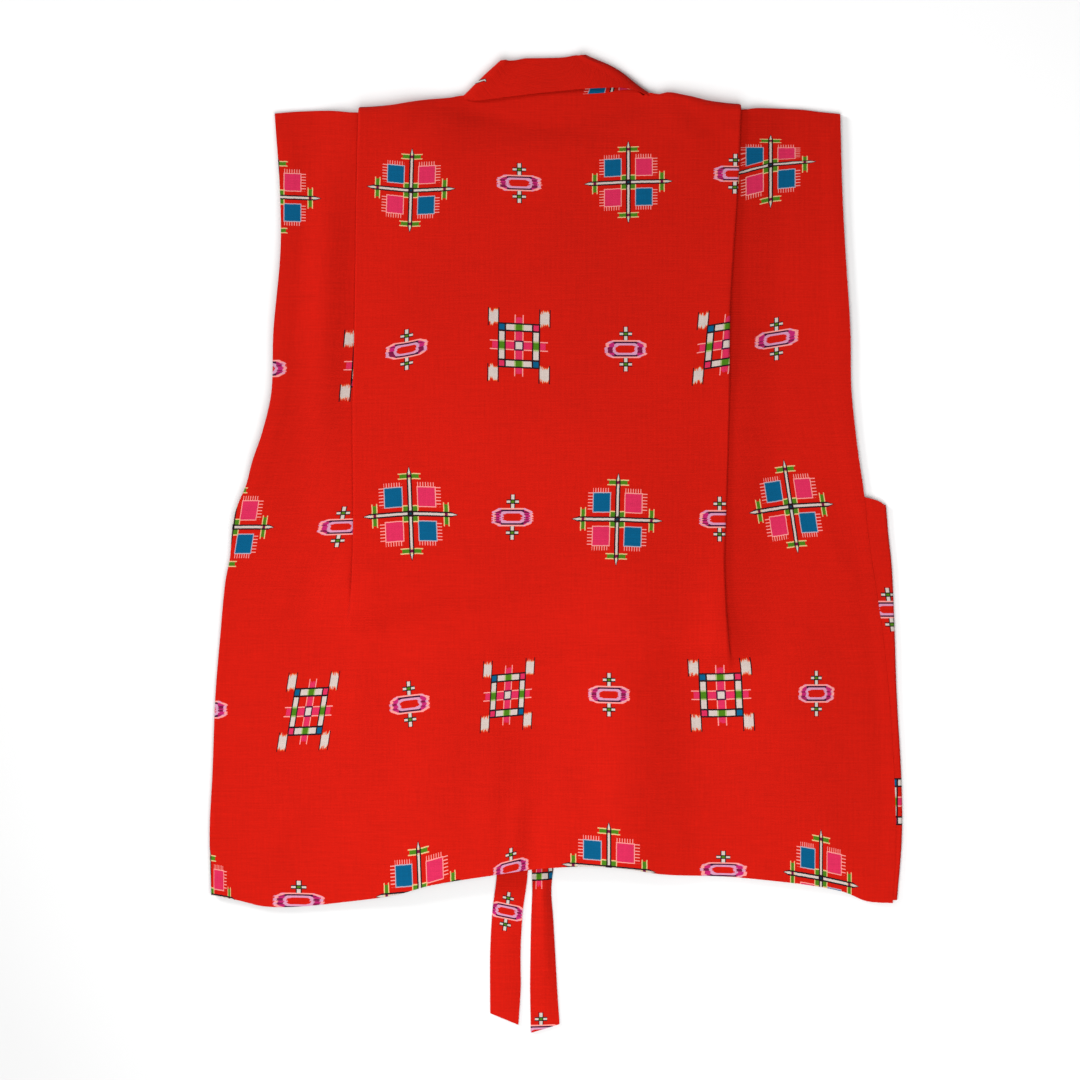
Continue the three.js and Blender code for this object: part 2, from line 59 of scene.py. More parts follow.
LENGTH = 395  # shoulder fold to hem, down the side
ARMHOLE = 192  # shoulder fold to the bottom of the armhole
NECK_HALF = 46
NECK_LIP = 2
NECK_STEP = 2
NECK_BLEND = 9
ARMHOLE_INSET = 0.8
FRONT_LIFT = 6  # how much shorter the fronts are at the collar
SIDE_LIFT = 1.5  # and at the sides
LIFT_REACH = 70

COLLAR = 20.5  # folded width of the collar
COLLAR_OVERLAP = 1.2
FRONT_EDGE = 22
CHEST = 125

TIE = 14.6
TIE_THICK = 1.2  # of the frame's tie
TIE_TOP = 45
TIE_LIFT = TIE_THICK + LAYER
LEVEL = 2  # cloth that stays level past the edge of a tie or the collar
SPREAD = 20  # and how wide a strip of it then comes down
BACK_SPREAD = 58  # the same on the back, which spans the hollows between what is under it

FLAP = 25  # cloth beside a tuck that comes down to what it lies on
SETTLE = 35  # the same on the tuck's inner side
BRIDGE_START = 30
NECK_TOP = 220.7  # below the neckline, a straight line where the back starts to rise
NECK_TILT = 0.03
NECK_SPREAD = 25

HEM_TURN = 23  # depth of the hem's turned-up allowance
ARMHOLE_TURN = 9  # the same at the armholes
SIDE_TURN = 4  # and at the side seams
TURN_RISE = 0.28  # how much such an allowance thickens the edge
HEM_TURN_SOFT = 1.6  # over what distance its own edge is felt, at the hem
SIDE_TURN_SOFT = 1.4  # and at the sides

WRAP_DROP = 4  # how far the wrapped strip's top corner hangs down, and over what length
WRAP_DROP_REACH = 12
RIM_BULGE = 0.32  # how far a cut edge stands out, in thicknesses of the cloth

# Fineness of the meshes
CELL = 2.0  # about the length of a cell
FOLD_STEPS = 12  # round a tuck's fold or the collar's
TUCK_STEPS = 8  # along a tuck's hidden layer
WRAP_STEPS = 8  # across the wrapped strip
TIE_COLUMNS = 12
OUTER_PANEL = 60  # about how wide the cloth is from the side edge to a tuck
BACK_PANEL = 190  # between the back's two tucks
FRONT_PANEL = 80  # and from a front's tuck to its inner edge
TURNS = [1, 0.95, 0.86, 0.72, 0.58, 0.45, 0.3, 0.15]  # rows round the shoulder fold


def table(columns, *rows):
    """Rows of numbers as named columns."""
    return {name: np.array(values, float) for name, values in zip(columns.split(), zip(*rows))}


# Side edges, by distance below the shoulder fold.
SIDES = table(
    "down left right",
    (0, -140.5, 142), (38, -137.8, 143), (68, -137.5, 144.5), (108, -141, 147),
    (138, -142, 147.5), (158, -146.5, 149.4), (173, -151.5, 151.3), (186, -154.8, 153.3),
    (197, -159.2, 154.6), (205, -161.3, 155.3), (223, -162.8, 157.6), (236, -165.2, 159.7),
    (262, -167.6, 163.4), (293, -170.1, 166.5), (333, -171.6, 169), (363, -173, 169.8),
    (395, -172.2, 168.2),
)
# The fold where the right front wraps round to the back, below the armhole.
WRAP = table(
    "down fold",
    (192, 165), (208, 166), (228, 168), (258, 169.3), (293, 170.5), (333, 172.7), (363, 173),
    (395, 170.6),
)
# Shoulder tucks: the fold's edge, how deep the cloth runs under it, how far it is turned over.
TUCKS = {
    -1: table(
        "down edge depth turn",
        (0, -98.8, 20, 1), (38, -99.7, 20, 1), (118, -101, 20, 1), (143, -101.7, 16.5, 1),
        (165, -101.7, 12, 1), (200, -101.4, 7.5, 1), (222, -101.7, 4, 1), (245, -102.4, 1.5, 0.5),
        (265, -103, 0.5, 0), (395, -104, 0.5, 0),
    ),
    1: table(
        "down edge depth turn",
        (0, 92.5, 17, 1), (38, 91, 17, 1), (93, 87.5, 17, 1), (118, 86.7, 17, 1),
        (143, 86.8, 14.5, 1), (200, 85.3, 7.5, 1), (232, 84.2, 4.5, 1), (255, 84.9, 2.2, 1),
        (272, 85.8, 1, 0.6), (292, 86, 0.5, 0), (395, 86, 0.5, 0),
    ),
}
# How far a tuck's folded edge stands off the cloth beside it, over its layers.
TUCK_RISE = table(
    "down left right",
    (0, -0.4, -0.4), (40, -0.8, -0.6), (63, -0.9, -0.3), (90, -0.8, 0.3), (112, -0.7, 0.6),
    (140, -0.7, -0.5), (160, -0.6, -1.1), (185, -0.6, -1), (225, -0.3, -0.4), (260, 0, 0),
    (395, 0, 0),
)
TUCK_RISE_REACH = 24
# The shoulder fold, the back's neckline and the hem, across the garment.
SHOULDER = table(
    "x y",
    (-141, 215), (-128, 216), (-113, 216.3), (-99, 215.3), (-80, 216.8), (-60, 220.8), (-46, 223),
    (46, 224.3), (51, 223.6), (56, 224.2), (65, 221.7), (76, 218.7), (93, 216.8), (101, 217.6),
    (122, 217), (131, 215.9), (142, 214.8),
)
NECKLINE = table(
    "x y",
    (-44, 221.2), (-38, 222.4), (-26, 223), (-12, 223.6), (2, 224.2), (17, 224.5), (26, 225.2),
    (33, 226.5), (38, 226.6), (41, 225.6), (44, 223.2),
)
HEM = table(
    "x y",
    (-173, -175.5), (-158, -178.4), (-145.5, -181.3), (-128, -181.3), (-105.5, -179),
    (-80.5, -175.5), (-63, -170.6), (-35.5, -166), (-10.5, -162.5), (14.5, -161), (34.5, -162.2),
    (54.5, -165.2), (84.5, -166.3), (109.5, -168.5), (129.5, -171), (144.5, -174.2),
    (155, -178.6), (170, -179.7),
)
# Soft ridges of the back, and the finer creases laid over them: the middle, half the width and
# length, the lean from upright in degrees, and the height.
RIDGES = table(
    "x y wide long lean high",
    (-66, -106, 33, 96, 1, 6), (36, -108, 25, 108, 1, 5.8), (118, -100, 34, 85, -2, 4.8),
    (-100, -92, 17, 70, 2, 2.2), (-32, -142, 9, 60, 1, 1.7), (4, -142, 10, 60, 1, 1.4),
    (80, -46, 10, 34, 3, 0.9), (-116, 118, 9, 100, 1, 3.2), (-30, 60, 60, 120, 1, 0.6),
    (-100.5, 135, 5, 80, 0.3, -0.4),
)
CREASES = table(
    "x y wide long lean high",
    (-20, -146, 5, 28, 6, 1.6), (-4, -150, 4, 20, -4, 0.6), (-98, -60, 6, 34, 8, 0.5),
    (92, -62, 6, 30, -6, 0.5), (80, -42, 5, 26, 4, 0.45), (-92, -28, 6, 28, -5, 0.4),
    (-60, 205, 7, 14, 70, 0.4), (66, 206, 6, 13, -68, 0.4), (-8, 208, 9, 26, 84, 0.35),
    (-128, -10, 5, 30, 24, 0.5), (136, 4, 5, 28, -22, 0.5), (-140, -150, 6, 30, 30, 0.6),
    (140, -148, 7, 30, -28, 0.6), (60, -145, 6, 22, -10, 0.5), (-96, -150, 7, 24, 12, 0.55),
)
# How far the back stands off the front at the left armhole's edge, and how far in that reaches.
GAPE = table(
    "down high", (0, 0), (45, 2), (110, 3.2), (155, 2.8), (192, 1.6), (235, 0.5), (280, 0), (395, 0)
)
GAPE_REACH = 40
RIDGE_TAPER = 1.4
RIDGE_START = 60
RIDGE_MARGIN = 14
# The ties: middle line, width as seen, and how far the middle arches up.
TIES = {
    -1: table(
        "y x width arch",
        (45, -11, TIE, 0), (-20, -15.5, TIE, 0), (-100, -20, TIE, 0), (-165, -21.9, 15.4, 0.1),
        (-184, -24.2, 15.1, 0.5), (-204, -25.3, 15, 0.8), (-222, -25.3, 15.2, 0.5),
        (-240.5, -25.8, 14, 0.1),
    ),
    1: table(
        "y x width arch",
        (45, 11, TIE, 0), (-20, 5.5, TIE, 0), (-100, -2, TIE, 0), (-146, -5.6, 13.6, 0),
        (-158, -6.4, 11.5, 0), (-172, -7.1, 8.8, 3.4), (-188, -6.9, 10.4, 3),
        (-204, -6.6, 11.8, 2.4), (-222, -6.2, 13.2, 1.2), (-241, -5.4, 14.4, 0.2),
    ),
}
TIE_END = -241
TIE_CUT_REACH = 12
TIE_CUTS = {-1: (-6.2, -0.4), 1: (3.6, -0.8)}  # how far each end is cut below TIE_END, left, right


# ---------- small helpers ----------
def mix(a, b, t):
    return a + (b - a) * t


def smooth(t):
    c = np.clip(t, 0, 1)
    return c * c * (3 - 2 * c)


def column(values):
    """One value for each row, ready to meet an array of columns."""
    return np.asarray(values, float)[:, None]


def beside(*parts):
    """Arrays of columns, side by side."""
    return np.concatenate(parts, axis=1)


def travelled(lengths):
    """How far along its row each point lies, from 0."""
    return np.pad(np.cumsum(lengths, axis=1), ((0, 0), (1, 0)))


def unit(vectors):
    """The same directions at length 1."""
    return vectors / np.maximum(np.linalg.norm(vectors, axis=-1, keepdims=True), 1e-12)


def along(rows, by, name, at):
    """The value of a table's column at a place: a cubic through the rows, held past the ends."""
    place, value = rows[by], rows[name]
    if place[0] > place[-1]:
        place, value = place[::-1], value[::-1]
    before = np.maximum(np.arange(len(place)) - 1, 0)
    after = np.minimum(np.arange(len(place)) + 1, len(place) - 1)
    slope = (value[after] - value[before]) / (place[after] - place[before])
    at = np.clip(at, place[0], place[-1])
    k = np.clip(np.searchsorted(place, at, side="right") - 1, 0, len(place) - 2)
    span = place[k + 1] - place[k]
    t = (at - place[k]) / span
    bend = (value[k + 1] - value[k]) / span
    steer = (1 - t) * ((slope[k] - bend) * (1 - t) - (slope[k + 1] - bend) * t)
    return value[k] + span * t * (bend + steer)


# ---------- the garment's shape, as in the frame ----------
def past_neck(x, over):
    """0 across the neck, and 1 past its corner."""
    return smooth((np.abs(x) - NECK_HALF + NECK_STEP) / over)


def shoulder_axis(x):
    return along(SHOULDER, "x", "y", x) - PITCH / 2 - RIM


def hem_y(x):
    return along(HEM, "x", "y", x)


def axis_y(x):
    """The axis of the shoulder fold, and across the neck the foot of the back's neckline."""
    return mix(along(NECKLINE, "x", "y", x) - NECK_LIP, shoulder_axis(x), past_neck(x, NECK_STEP))


def front_hem_y(x):
    return hem_y(x) + mix(FRONT_LIFT, SIDE_LIFT, smooth((np.abs(x) - FRONT_EDGE) / LIFT_REACH))


def front_edge(y):
    """Where the collar is sewn to the front: straight from hem to chest, then out to the neck."""
    shoulder = along(SHOULDER, "x", "y", NECK_HALF)
    return mix(NECK_HALF, FRONT_EDGE, smooth((shoulder - y) / CHEST))


def over_collar(x, y, spread=SPREAD):
    return 1 - smooth((np.abs(x) - front_edge(y) - LEVEL) / spread)


def tie_lift(x, y, spread=SPREAD):
    """How far the two ties under the garment raise it."""
    left = along(TIES[-1], "y", "x", y) - TIE / 2
    right = along(TIES[1], "y", "x", y) + TIE / 2
    past = np.maximum.reduce([left - x, x - right, y - TIE_TOP, np.zeros_like(x)])
    return TIE_LIFT * smooth(1 - (past - LEVEL) / spread)


def ground(x, y, spread=SPREAD):
    return RIM + PITCH * over_collar(x, y, spread)


def tuck_path(tuck, down):
    """One tuck's path in its own plane for every row, from the armhole side to the middle. run is
    across towards the middle with the fold's edge at 0, up is through the layers."""
    depth = along(tuck, "down", "depth", down)
    turn = math.pi * np.clip(along(tuck, "down", "turn", down), 0, 1)
    chord = PITCH * math.sin(math.pi / FOLD_STEPS / 2)
    hidden = np.maximum(depth - PITCH, 0.5) / TUCK_STEPS
    shares = (np.arange(FOLD_STEPS) + 0.5) / FOLD_STEPS
    shares = np.concatenate([shares, np.ones(TUCK_STEPS), shares[::-1]])
    angle = column(turn) * shares
    fold = np.full((len(down), FOLD_STEPS), chord)
    length = beside(fold, np.repeat(column(hidden), TUCK_STEPS, axis=1), fold)
    run, up = travelled(length * np.cos(angle)), travelled(length * np.sin(angle))
    edge = run[:, -1 - FOLD_STEPS // 2] - RIM * np.sin(turn / 2)
    return {
        "edge": along(tuck, "down", "edge", down),
        "depth": run[:, FOLD_STEPS // 2] - edge,
        "step": up[:, -1],
        "run": run - column(edge),
        "up": up,
        "gone": travelled(length),
    }


def body_rows():
    """Rows from the shoulder fold to the hem: how far each is turned round the fold, how far down
    it lies, and the side edges and the tucks there."""
    chest = np.linspace(0, ARMHOLE, round(ARMHOLE / CELL) + 1)
    below = np.linspace(ARMHOLE, LENGTH, round((LENGTH - ARMHOLE) / CELL) + 1)
    down = np.concatenate([np.zeros(len(TURNS)), chest, below[1:]])
    turn = np.concatenate([TURNS, np.zeros(len(down) - len(TURNS))])
    sides = {sign: along(SIDES, "down", name, down) for sign, name in HANDS}
    tucks = {sign: tuck_path(TUCKS[sign], down) for sign, _ in HANDS}
    for sign, name in HANDS:
        tucks[sign]["rise"] = along(TUCK_RISE, "down", name, down)
    return {"down": down, "turn": turn, "share": down / LENGTH, "sides": sides, "tucks": tucks}


ROWS = body_rows()


def settling(bridge):
    """How far past the tucks' layers the cloth settles: where it spans the hollow between the two
    tucks, all the way across."""
    left, right = ROWS["tucks"][-1], ROWS["tucks"][1]
    hollow = right["edge"] - right["depth"] - left["edge"] - left["depth"]
    return mix(SETTLE, column(hollow), bridge)


def tuck_lift(x, settle=SETTLE):
    """How much the tucks' layers raise the cloth above them."""
    total = 0
    for sign, tuck in ROWS["tucks"].items():
        inward = -sign * (x - column(tuck["edge"]))
        share = smooth((inward + FLAP) / FLAP)
        share = share * (1 - smooth((inward - column(tuck["depth"])) / settle))
        total = total + column(tuck["step"]) * share
    return total


def ridge_height(ridges, x, y):
    """Ridges that fade out to each side and at both ends."""
    height = np.zeros_like(x)
    for middle_x, middle_y, wide, long, degrees, high in zip(*ridges.values()):
        lean = math.radians(degrees)
        dx, dy = x - middle_x, y - middle_y
        across = dx * math.cos(lean) - dy * math.sin(lean)
        length = dx * math.sin(lean) + dy * math.cos(lean)
        ends = 1 - smooth(np.abs(length) / long / RIDGE_TAPER)
        height += high * np.exp(-((across / wide) ** 2)) * ends
    return height


def edge_distance(x):
    return np.minimum(x - column(ROWS["sides"][-1]), column(ROWS["sides"][1]) - x)


def allowance_rise(x, y):
    """The turned-in allowances at the hem, armholes and side seams, felt through the cloth."""
    hem = smooth((hem_y(x) + HEM_TURN - y) / HEM_TURN_SOFT)
    turned = mix(ARMHOLE_TURN, SIDE_TURN, smooth((column(ROWS["down"]) - ARMHOLE) / 10))
    side = smooth((turned - edge_distance(x)) / SIDE_TURN_SOFT)
    return TURN_RISE * np.maximum(hem, side)


def loft(x, y):
    """The back's height over what it lies on. Its ridges die out towards the shoulder fold and the
    side edges, and its left armhole stands off the front."""
    down = column(ROWS["down"])
    fade = smooth(down / RIDGE_START)
    height = ridge_height(RIDGES, x, y) * fade * smooth(edge_distance(x) / RIDGE_MARGIN)
    gape = column(along(GAPE, "down", "high", ROWS["down"]))
    height = height + gape * (1 - smooth((x - column(ROWS["sides"][-1])) / GAPE_REACH))
    near = smooth((down + 2) / 16) * smooth((edge_distance(x) + 3) / 6)
    return height + (ridge_height(CREASES, x, y) + allowance_rise(x, y)) * near


def bridging(x):
    """How far the back is free of the shoulder fold to span the hollows between what is under it."""
    y = mix(axis_y(x), hem_y(x), column(ROWS["share"]))
    neck = NECK_TOP + NECK_TILT * x
    top = mix(neck, shoulder_axis(x), smooth((np.abs(x) - NECK_HALF) / NECK_SPREAD))
    return smooth((top - y) / BRIDGE_START)


def body_points(x, above, face):
    """Middle points of the body. face 1 is the back and -1 the fronts; above is the height over
    the lowest layer there."""
    hem = hem_y(x) if face > 0 else front_hem_y(x)
    y = mix(axis_y(x), hem, column(ROWS["share"]))
    bridge = bridging(x) if face > 0 else 0
    spread = mix(SPREAD, BACK_SPREAD, bridge)
    middle = ground(x, y, spread) + tuck_lift(x, settling(bridge)) + PITCH / 2
    radius = PITCH / 2 + above
    turned = past_neck(x, NECK_BLEND) if face > 0 else 1
    turn = column(ROWS["turn"])
    bend = turn * math.pi / 2 * turned
    lip = turn * NECK_LIP * (1 - turned)
    height = mix(SEAM, radius, np.cos(bend))
    if face > 0:
        height = height + loft(x, y)
    y = y + lip + radius * np.sin(bend)
    z = middle + face * height
    return np.stack([x, y, z + tie_lift(x, y, spread)], axis=-1)


def raised(tuck):
    """The height of a tuck's path on the back, its folded edge standing off."""
    return tuck["up"] * (1 + column(tuck["rise"] / np.maximum(tuck["step"], PITCH)))


def steps(first, last, count):
    """count columns from first up to but not including last, for every row."""
    t = np.arange(count) / count
    return mix(column(first), column(last), t)


def even(length):
    return max(2, round(length / CELL))


def back_shape():
    """The back's middle points, how far across the cloth each lies, and how far the figures of the
    two outer panels are moved by the cloth hidden in the tucks. Across the cloth is x in the middle
    panel, and runs along the folded path in the tucks."""
    x, above, across, panels = {}, {}, {}, {}
    for sign, name in HANDS:
        tuck = ROWS["tucks"][sign]
        tuck_x = column(tuck["edge"]) - sign * tuck["run"]
        outer = steps(ROWS["sides"][sign], tuck_x[:, 0], even(OUTER_PANEL))
        gone = tuck_x[:, -1:] + sign * (tuck["gone"][:, -1:] - tuck["gone"])
        panels[name] = tuck_x[:, 0] - gone[:, 0]
        x[sign] = beside(outer, tuck_x)
        above[sign] = beside(np.zeros_like(outer), raised(tuck))
        across[sign] = beside(outer - column(panels[name]), gone)
    middle = steps(x[-1][:, -1], x[1][:, -1], even(BACK_PANEL))
    settled = np.zeros_like(middle)
    settle = settling(bridging(middle))
    for sign, tuck in ROWS["tucks"].items():
        inward = sign * (x[sign][:, -1:] - middle)
        past = inward - column(tuck["depth"])
        settled += column(tuck["step"]) * (1 - smooth(past / settle))
        settled += column(tuck["rise"]) * (1 - smooth(inward / TUCK_RISE_REACH))
    x, above, across = (
        beside(part[-1][:, :-1], centre, part[1][:, ::-1])
        for part, centre in ((x, middle), (above, settled), (across, middle))
    )
    return body_points(x, above, 1), across, panels


def front_inner(sign, share):
    """Where the front's sewn edge lies, for a share of the way from the neck to the hem."""
    top, hem = axis_y(sign * NECK_HALF), front_hem_y(sign * FRONT_EDGE)
    return sign * (front_edge(mix(top, hem, share)) + SEWN / 2)


def wrap_columns(outer):
    """The right front's columns that wrap round to the back below the armhole: the strip on the
    back, the turn, and the stretch to the armhole's edge."""
    down = ROWS["down"]
    fold = along(WRAP, "down", "fold", down) - RIM - PITCH / 2
    seam = ROWS["sides"][1] + SEWN
    base = body_points(column(fold), np.zeros((len(down), 1)), -1)
    strip = steps(seam, fold, WRAP_STEPS)
    turned = np.arange(FOLD_STEPS) / FOLD_STEPS * math.pi
    turn_x = column(fold) + PITCH / 2 * np.sin(turned)
    turn_up = np.broadcast_to(PITCH / 2 * (1 + np.cos(turned)), turn_x.shape)
    reach = steps(fold, outer, WRAP_STEPS)
    x = beside(strip, turn_x, reach)
    up = beside(np.full(strip.shape, PITCH), turn_up, np.zeros(reach.shape))
    drop = WRAP_DROP * np.clip(1 - (down - ARMHOLE) / WRAP_DROP_REACH, 0, 1)
    share = np.clip((x - column(seam)) / column(fold - seam), 0, 1)
    rounded = mix(share, share**6, 0.35)
    points = np.stack([x, base[:, :, 1] - column(drop) * rounded, base[:, :, 2] + up], axis=-1)
    width = column(fold - seam)
    around = np.broadcast_to(PITCH / 2 * turned, turn_x.shape)
    beyond = width + PITCH / 2 * math.pi + column(fold) - reach
    return points, beside(strip - column(seam), width + around, beyond), seam, down >= ARMHOLE


def front_shape(sign):
    """One front's middle points, how far across the cloth each lies from its outer edge, and which
    points are there: all but the wrapped strip's above the armhole's foot."""
    tuck = ROWS["tucks"][sign]
    tuck_x = column(tuck["edge"]) - sign * tuck["run"]
    last = tuck_x[:, -1:]
    outer = ROWS["sides"][sign] - max(sign, 0) * ARMHOLE_INSET
    inner = front_inner(sign, ROWS["share"]) + sign * ROWS["turn"] * SEWN
    side = steps(outer, tuck_x[:, 0], even(OUTER_PANEL))
    count = even(FRONT_PANEL)
    middle = mix(last, column(inner), (np.arange(count) + 1) / count)
    x = beside(side, tuck_x, middle)
    above = beside(np.zeros_like(side), tuck["up"], tuck_lift(middle))
    points = body_points(x, above, -1)
    start = column(np.abs(tuck_x[:, 0] - outer))
    inward = start + tuck["gone"][:, -1:] + np.abs(middle - last)
    across = beside(np.abs(side - column(outer)), start + tuck["gone"], inward)
    whole = np.ones(x.shape, bool)
    panels = {}
    if sign > 0:
        wrapped, gone, seam, there = wrap_columns(outer)
        past = gone[:, -1:] + np.abs(wrapped[:, -1:, 0] - column(outer))
        points = beside(wrapped, points)
        across = beside(gone, across + past)
        whole = beside(np.repeat(there[:, None], gone.shape[1], axis=1), whole)
        panels["strip"] = seam
    return points, across, panels, whole


# ---------- collar ----------
CORNER_FAN = 28
CORNER_TRIM = 1.6
CORNER_PITCH = 0.85  # the pressed layers' pitch at a corner, middle to middle
CORNERS = {
    -1: {"seam": (-44.6, 223.2), "fold": (-25.3, 241.6), "past": -1, "bow": 0.3},
    1: {"seam": (44.6, 224.4), "fold": (12.2, 243.9), "past": -1.5, "bow": 1.9},
}
# How the collar rolls over at each corner, and how far its free edge then passes the seam.
CORNER_ROLLS = table("roll past", (180, -1.2), (140, -0.6), (90, 0.4), (40, 1.3), (0, 1.7))
# Stations along the nape: the seam's x, the fold's place, how far the free edge passes the seam,
# and how far it stands up.
NAPE = table(
    "seam x y past lift",
    (-40, -23.2, 241.2, 1.3, 0), (-32, -20, 241.5, 1, 0), (-22, -14.5, 242.6, -0.2, 0.1),
    (-10, -7, 242.75, -1.1, 0), (3, 0, 242.9, -1.9, 0.1), (14, 4.5, 243.2, -2.9, 0.4),
    (24, 8, 243.8, -3.3, 0.7), (33, 9.8, 243.9, -1.9, 0.6), (39.5, 11.2, 243.7, -0.6, 0.3),
)
NAPE_DIP = 0.1
COLLAR_DOWNS = [10, 30, 56, 84, 108, 128, 146, 162, 174, 184, 204, 232, 260, 296, 342, 382]
COLLAR_STEPS = 14  # across one layer of the collar
COLLAR_THREADS = 225  # where the nape's seam lies in the collar's own thread places


def collar_section(seam, fold, z, past, roll=0, dip=0, lift=0, bow=0):
    """From the seam to the fold and back. roll turns the outward side from up (0) to down (180),
    and bow curves the band sideways. A fourth number keeps the place along the seam."""
    to_fold = np.array([fold[0] - seam[0], fold[1] - seam[1], 0.0])
    width = np.linalg.norm(to_fold)
    to_fold /= width
    sideways = np.array([-to_fold[1], to_fold[0], 0])
    if sideways[1] < 0:
        sideways = -sideways
    angle = math.radians(roll)
    out = np.array([0, 0, math.cos(angle)]) + sideways * math.sin(angle)
    to_fold[2] = -dip
    to_fold /= np.linalg.norm(to_fold)
    edge_on = abs(math.sin(angle))
    pitch = mix(PITCH, CORNER_PITCH, edge_on)
    flat = width - PITCH / 2 - RIM - CORNER_TRIM * edge_on
    t = np.arange(COLLAR_STEPS) / COLLAR_STEPS
    turned = np.arange(FOLD_STEPS + 1) / FOLD_STEPS * math.pi
    run = np.concatenate([flat * t, flat + pitch / 2 * np.sin(turned), mix(-past, flat, t)[::-1]])
    round_fold = pitch / 2 * (1 - np.cos(turned))
    up = np.concatenate([0 * t, round_fold, pitch + lift * smooth(1 - t[::-1])])
    start = np.array([seam[0], seam[1], z]) + out * pitch / 2
    points = start + run[:, None] * to_fold + up[:, None] * out
    points += column(bow * np.sin(math.pi * np.clip(run / width, 0, 1)) ** 2) * sideways
    points[:, 2] += tie_lift(points[:, 0], points[:, 1])
    return np.concatenate([points, np.full((len(points), 1), seam[0])], axis=1)


def front_station(sign, down):
    """The collar's section where it is sewn to a front's edge."""
    inner = front_inner(sign, down / LENGTH)
    x = inner - sign * SEWN
    y = mix(axis_y(inner), front_hem_y(inner), down / LENGTH)
    near = smooth((CORNER_FAN - down) / CORNER_FAN)
    corner = CORNERS[sign]
    fold = (mix(x - sign * COLLAR, corner["fold"][0], near), mix(y, corner["fold"][1], near))
    past = mix(COLLAR_OVERLAP, corner["past"], near)
    z = ground(x, y) + PITCH / 2
    section = collar_section((x, y), fold, z, past, roll=180, bow=corner["bow"] * near)
    section[:, 3] = sign * (abs(corner["seam"][0]) + 4 + down)
    return section


def corner_station(sign, roll, past, z):
    corner = CORNERS[sign]
    section = collar_section(corner["seam"], corner["fold"], z, past, roll, bow=corner["bow"])
    section[:, 3] += sign * roll / 90
    return section


def collar_stations():
    z = RIM + PITCH * 1.5
    nape = []
    for k, (seam, x, y, past, lift) in enumerate(zip(*NAPE.values())):
        start = (seam, along(NECKLINE, "x", "y", seam) + SEWN)
        dip = NAPE_DIP * math.sin(math.pi * (k + 1) / (len(NAPE["seam"]) + 1))
        nape.append(collar_section(start, (x, y), z, past, dip=dip, lift=lift))
    left, right = (
        [corner_station(sign, roll, past, z) for roll, past in zip(*CORNER_ROLLS.values())]
        for sign, _ in HANDS
    )
    left = [front_station(-1, down) for down in COLLAR_DOWNS[::-1]] + left
    right = right[::-1] + [front_station(1, down) for down in COLLAR_DOWNS]
    return np.array(left + nape + right)


def resample(stations, cell):
    """The stations joined by cubics that don't overshoot, with a row about every cell."""
    gaps = np.linalg.norm(np.diff(stations[:, :, :3], axis=0), axis=2).mean(axis=1)
    place = np.concatenate([[0], np.cumsum(gaps)])
    slope = np.diff(stations, axis=0) / gaps[:, None, None]
    before, after = slope[:-1], slope[1:]
    both = np.where(before * after > 0, before * after, 0)
    with np.errstate(divide="ignore", invalid="ignore"):
        inner = np.where(both > 0, 2 * both / (before + after), 0)
    tangent = np.concatenate([slope[:1], inner, slope[-1:]])
    at = np.linspace(0, place[-1], round(place[-1] / cell) + 1)
    k = np.clip(np.searchsorted(place, at, side="right") - 1, 0, len(gaps) - 1)
    t = ((at - place[k]) / gaps[k])[:, None, None]
    span = gaps[k][:, None, None]
    a, b = stations[k], stations[k + 1]
    return (
        a * (1 + 2 * t) * (1 - t) ** 2
        + b * (3 - 2 * t) * t**2
        + tangent[k] * span * t * (1 - t) ** 2
        - tangent[k + 1] * span * t**2 * (1 - t)
    )


def collar_shape():
    """The collar's middle points, and each one's place along and across the band."""
    rows = resample(collar_stations(), CELL)
    points, band = rows[:, :, :3], rows[:, :, 3]
    width = np.linalg.norm(np.diff(points, axis=1), axis=2)
    return points, band, travelled(width) + COLLAR_THREADS


# ---------- ties ----------
def tie_shape(sign):
    """A tie's middle points. Its end is cut at a slant."""
    rows, cut = TIES[sign], TIE_CUTS[sign]
    down = np.linspace(TIE_TOP, TIE_END, round((TIE_TOP - TIE_END) / CELL) + 1)
    s = np.linspace(0, 1, TIE_COLUMNS)
    reach = smooth((down - TIE_END - TIE_CUT_REACH) / -TIE_CUT_REACH)
    y = column(down) - column(reach) * mix(cut[0], cut[1], s)
    width = along(rows, "y", "width", y)
    arch = np.maximum(along(rows, "y", "arch", y), 0) * np.sin(math.pi * s)
    x = along(rows, "y", "x", y) + width * (s - 0.5)
    points = np.stack([x, y, TIE_THICK / 2 + arch], axis=-1)
    return points, x


